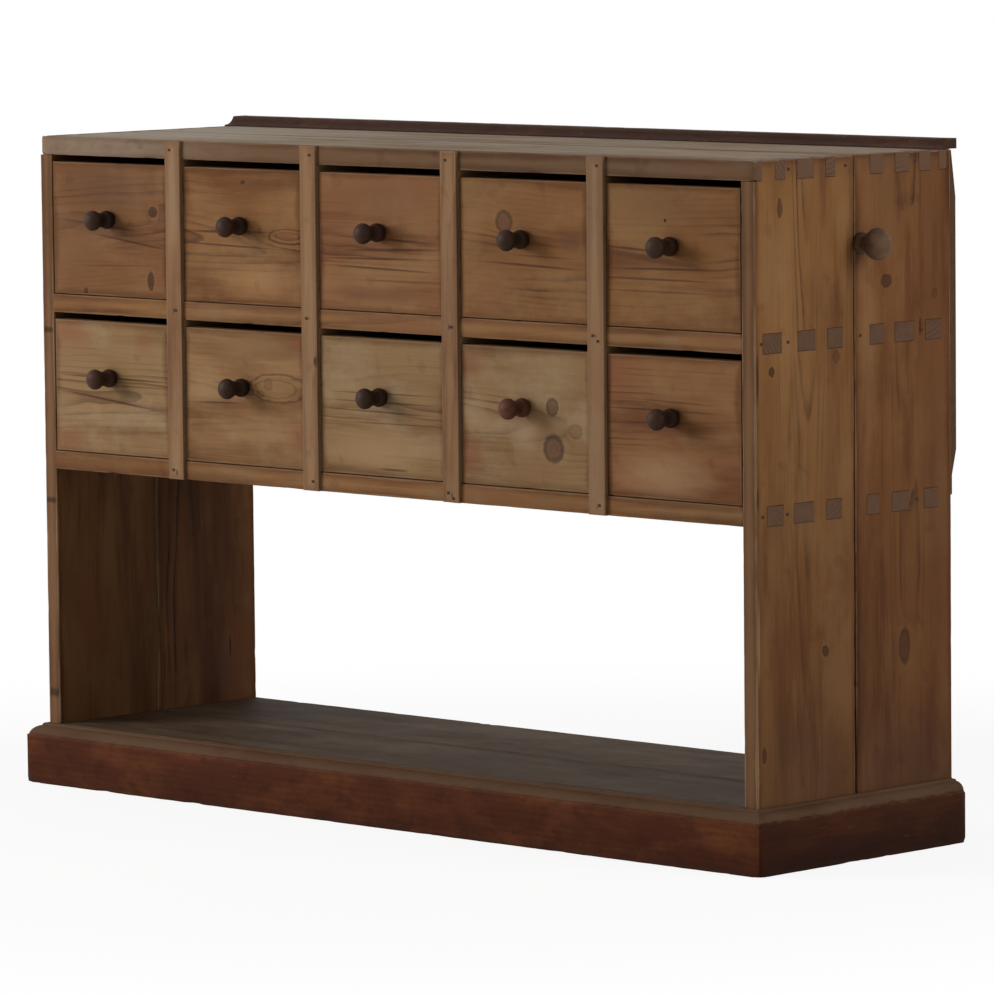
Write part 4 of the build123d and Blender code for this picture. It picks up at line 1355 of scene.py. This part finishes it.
# ------------------------------------------------------------------------------ studio
@dataclass
class Studio:
    """The camera at the photograph's angle, a pale floor, and soft lamps."""

    camera_place: tuple[float, ...] = (6.4967, -6.7155, 1.3474)
    azimuth: float = math.radians(-43.931)
    elevation: float = math.radians(-5.593)
    roll: float = math.radians(-0.562)
    focal_pixels: float = 6844.3
    image_height: float = 995.0
    sensor: float = 36.0
    daylight: float = 0.41
    floor_radius: float = 60.0
    fade_from: float = 0.9
    fade_to: float = 1.8
    near_white: float = 0.88
    lamp_aim: tuple[float, ...] = (0.0, 0.0, 0.55)
    lamp_size: float = 2.6
    lamp_colour: tuple[float, ...] = (1.0, 0.98, 0.95)

    def camera(self) -> None:
        """Set up the camera."""
        data = bpy.data.cameras.new("camera")
        data.sensor_width = self.sensor
        data.lens = self.focal_pixels / self.image_height * self.sensor
        data.clip_end = 200.0
        camera = bpy.data.objects.new("camera", data)
        bpy.context.scene.collection.objects.link(camera)
        level = math.cos(self.elevation)
        forward = Vector((math.sin(self.azimuth) * level, math.cos(self.azimuth) * level,
                          math.sin(self.elevation)))
        right = Vector((math.cos(self.azimuth), -math.sin(self.azimuth), 0.0))
        up = right.cross(forward)
        tilted_right = right * math.cos(self.roll) + up * math.sin(self.roll)
        tilted_up = up * math.cos(self.roll) - right * math.sin(self.roll)
        turn = Matrix((tilted_right, tilted_up, -forward)).transposed().to_4x4()
        camera.matrix_world = Matrix.Translation(self.camera_place) @ turn
        bpy.context.scene.camera = camera

    def lamp(self, name: str, place: Vector, power: float) -> None:
        """Add one soft lamp that faces the cabinet.

        Args:
            name: the lamp's name.
            place: where it hangs.
            power: its power, in watts.
        """
        data = bpy.data.lights.new(name, "AREA")
        data.shape = "DISK"
        data.size = self.lamp_size
        data.energy = power
        data.color = self.lamp_colour
        lamp = bpy.data.objects.new(name, data)
        lamp.location = place
        aim = Vector(self.lamp_aim) - place
        lamp.rotation_euler = aim.to_track_quat("-Z", "Y").to_euler()
        bpy.context.scene.collection.objects.link(lamp)

    def world(self) -> None:
        """An even pale surround, white where the camera sees it."""
        world = bpy.data.worlds.new("surround")
        bpy.context.scene.world = world
        graph = Graph(world)
        rays = [graph.add("ShaderNodeLightPath", {}, f"Is {kind} Ray")
                for kind in ("Camera", "Glossy", "Transmission")]
        shown = graph.math("MAXIMUM", rays[0], graph.math("MAXIMUM", rays[1], rays[2]))
        colour = {"Color": (1, 1, 1, 1)}
        light, white = [graph.add("ShaderNodeBackground", {**colour, "Strength": strength})
                        for strength in (self.daylight, 1.0)]
        graph.close(graph.add("ShaderNodeMixShader", {0: shown, 1: light, 2: white}))

    def floor(self) -> None:
        """A pale floor that keeps the cabinet's shadow and fades into the white surround."""
        ground = bmesh.new()
        bmesh.ops.create_circle(ground, cap_ends=True, radius=self.floor_radius, segments=64)
        floor = set_down(ground, "floor")
        graph = Graph.named("pale_floor")
        place = graph.position()
        rays = [graph.add("ShaderNodeLightPath", {}, f"Is {kind} Ray")
                for kind in ("Camera", "Glossy")]
        away = graph.step(self.fade_from, self.fade_to, graph.length(place[0], place[1]))
        share = graph.math("MAXIMUM", *rays) * (self.near_white + away * (1 - self.near_white))
        matt = graph.add("ShaderNodeBsdfDiffuse", {"Color": (0.8, 0.8, 0.8, 1)})
        white = graph.add("ShaderNodeEmission", {"Color": (1, 1, 1, 1), "Strength": 1.0})
        graph.close(graph.add("ShaderNodeMixShader", {0: share, 1: matt, 2: white}))
        dress(floor, graph.owner)

    def build(self) -> None:
        """Set all of it up."""
        self.camera()
        self.world()
        self.floor()
        self.lamp("window", Vector((-3.3, -3.3, 2.1)), 185.0)
        self.lamp("side_window", Vector((4.2, 0.9, 2.3)), 90.0)
        bpy.context.scene.view_settings.view_transform = "Standard"


def main() -> None:
    """Build the studio and every group of pieces, in order."""
    logging.basicConfig(level=logging.INFO, format="%(name)s: %(message)s")
    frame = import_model()
    Studio().build()
    for group in (Carcass(frame), Front(frame), Plinth(frame), SideKnob(frame), Drawers(frame)):
        group.build()
        LOG.info("%s is in place", type(group).__name__)


if __name__ == "__main__":
    main()
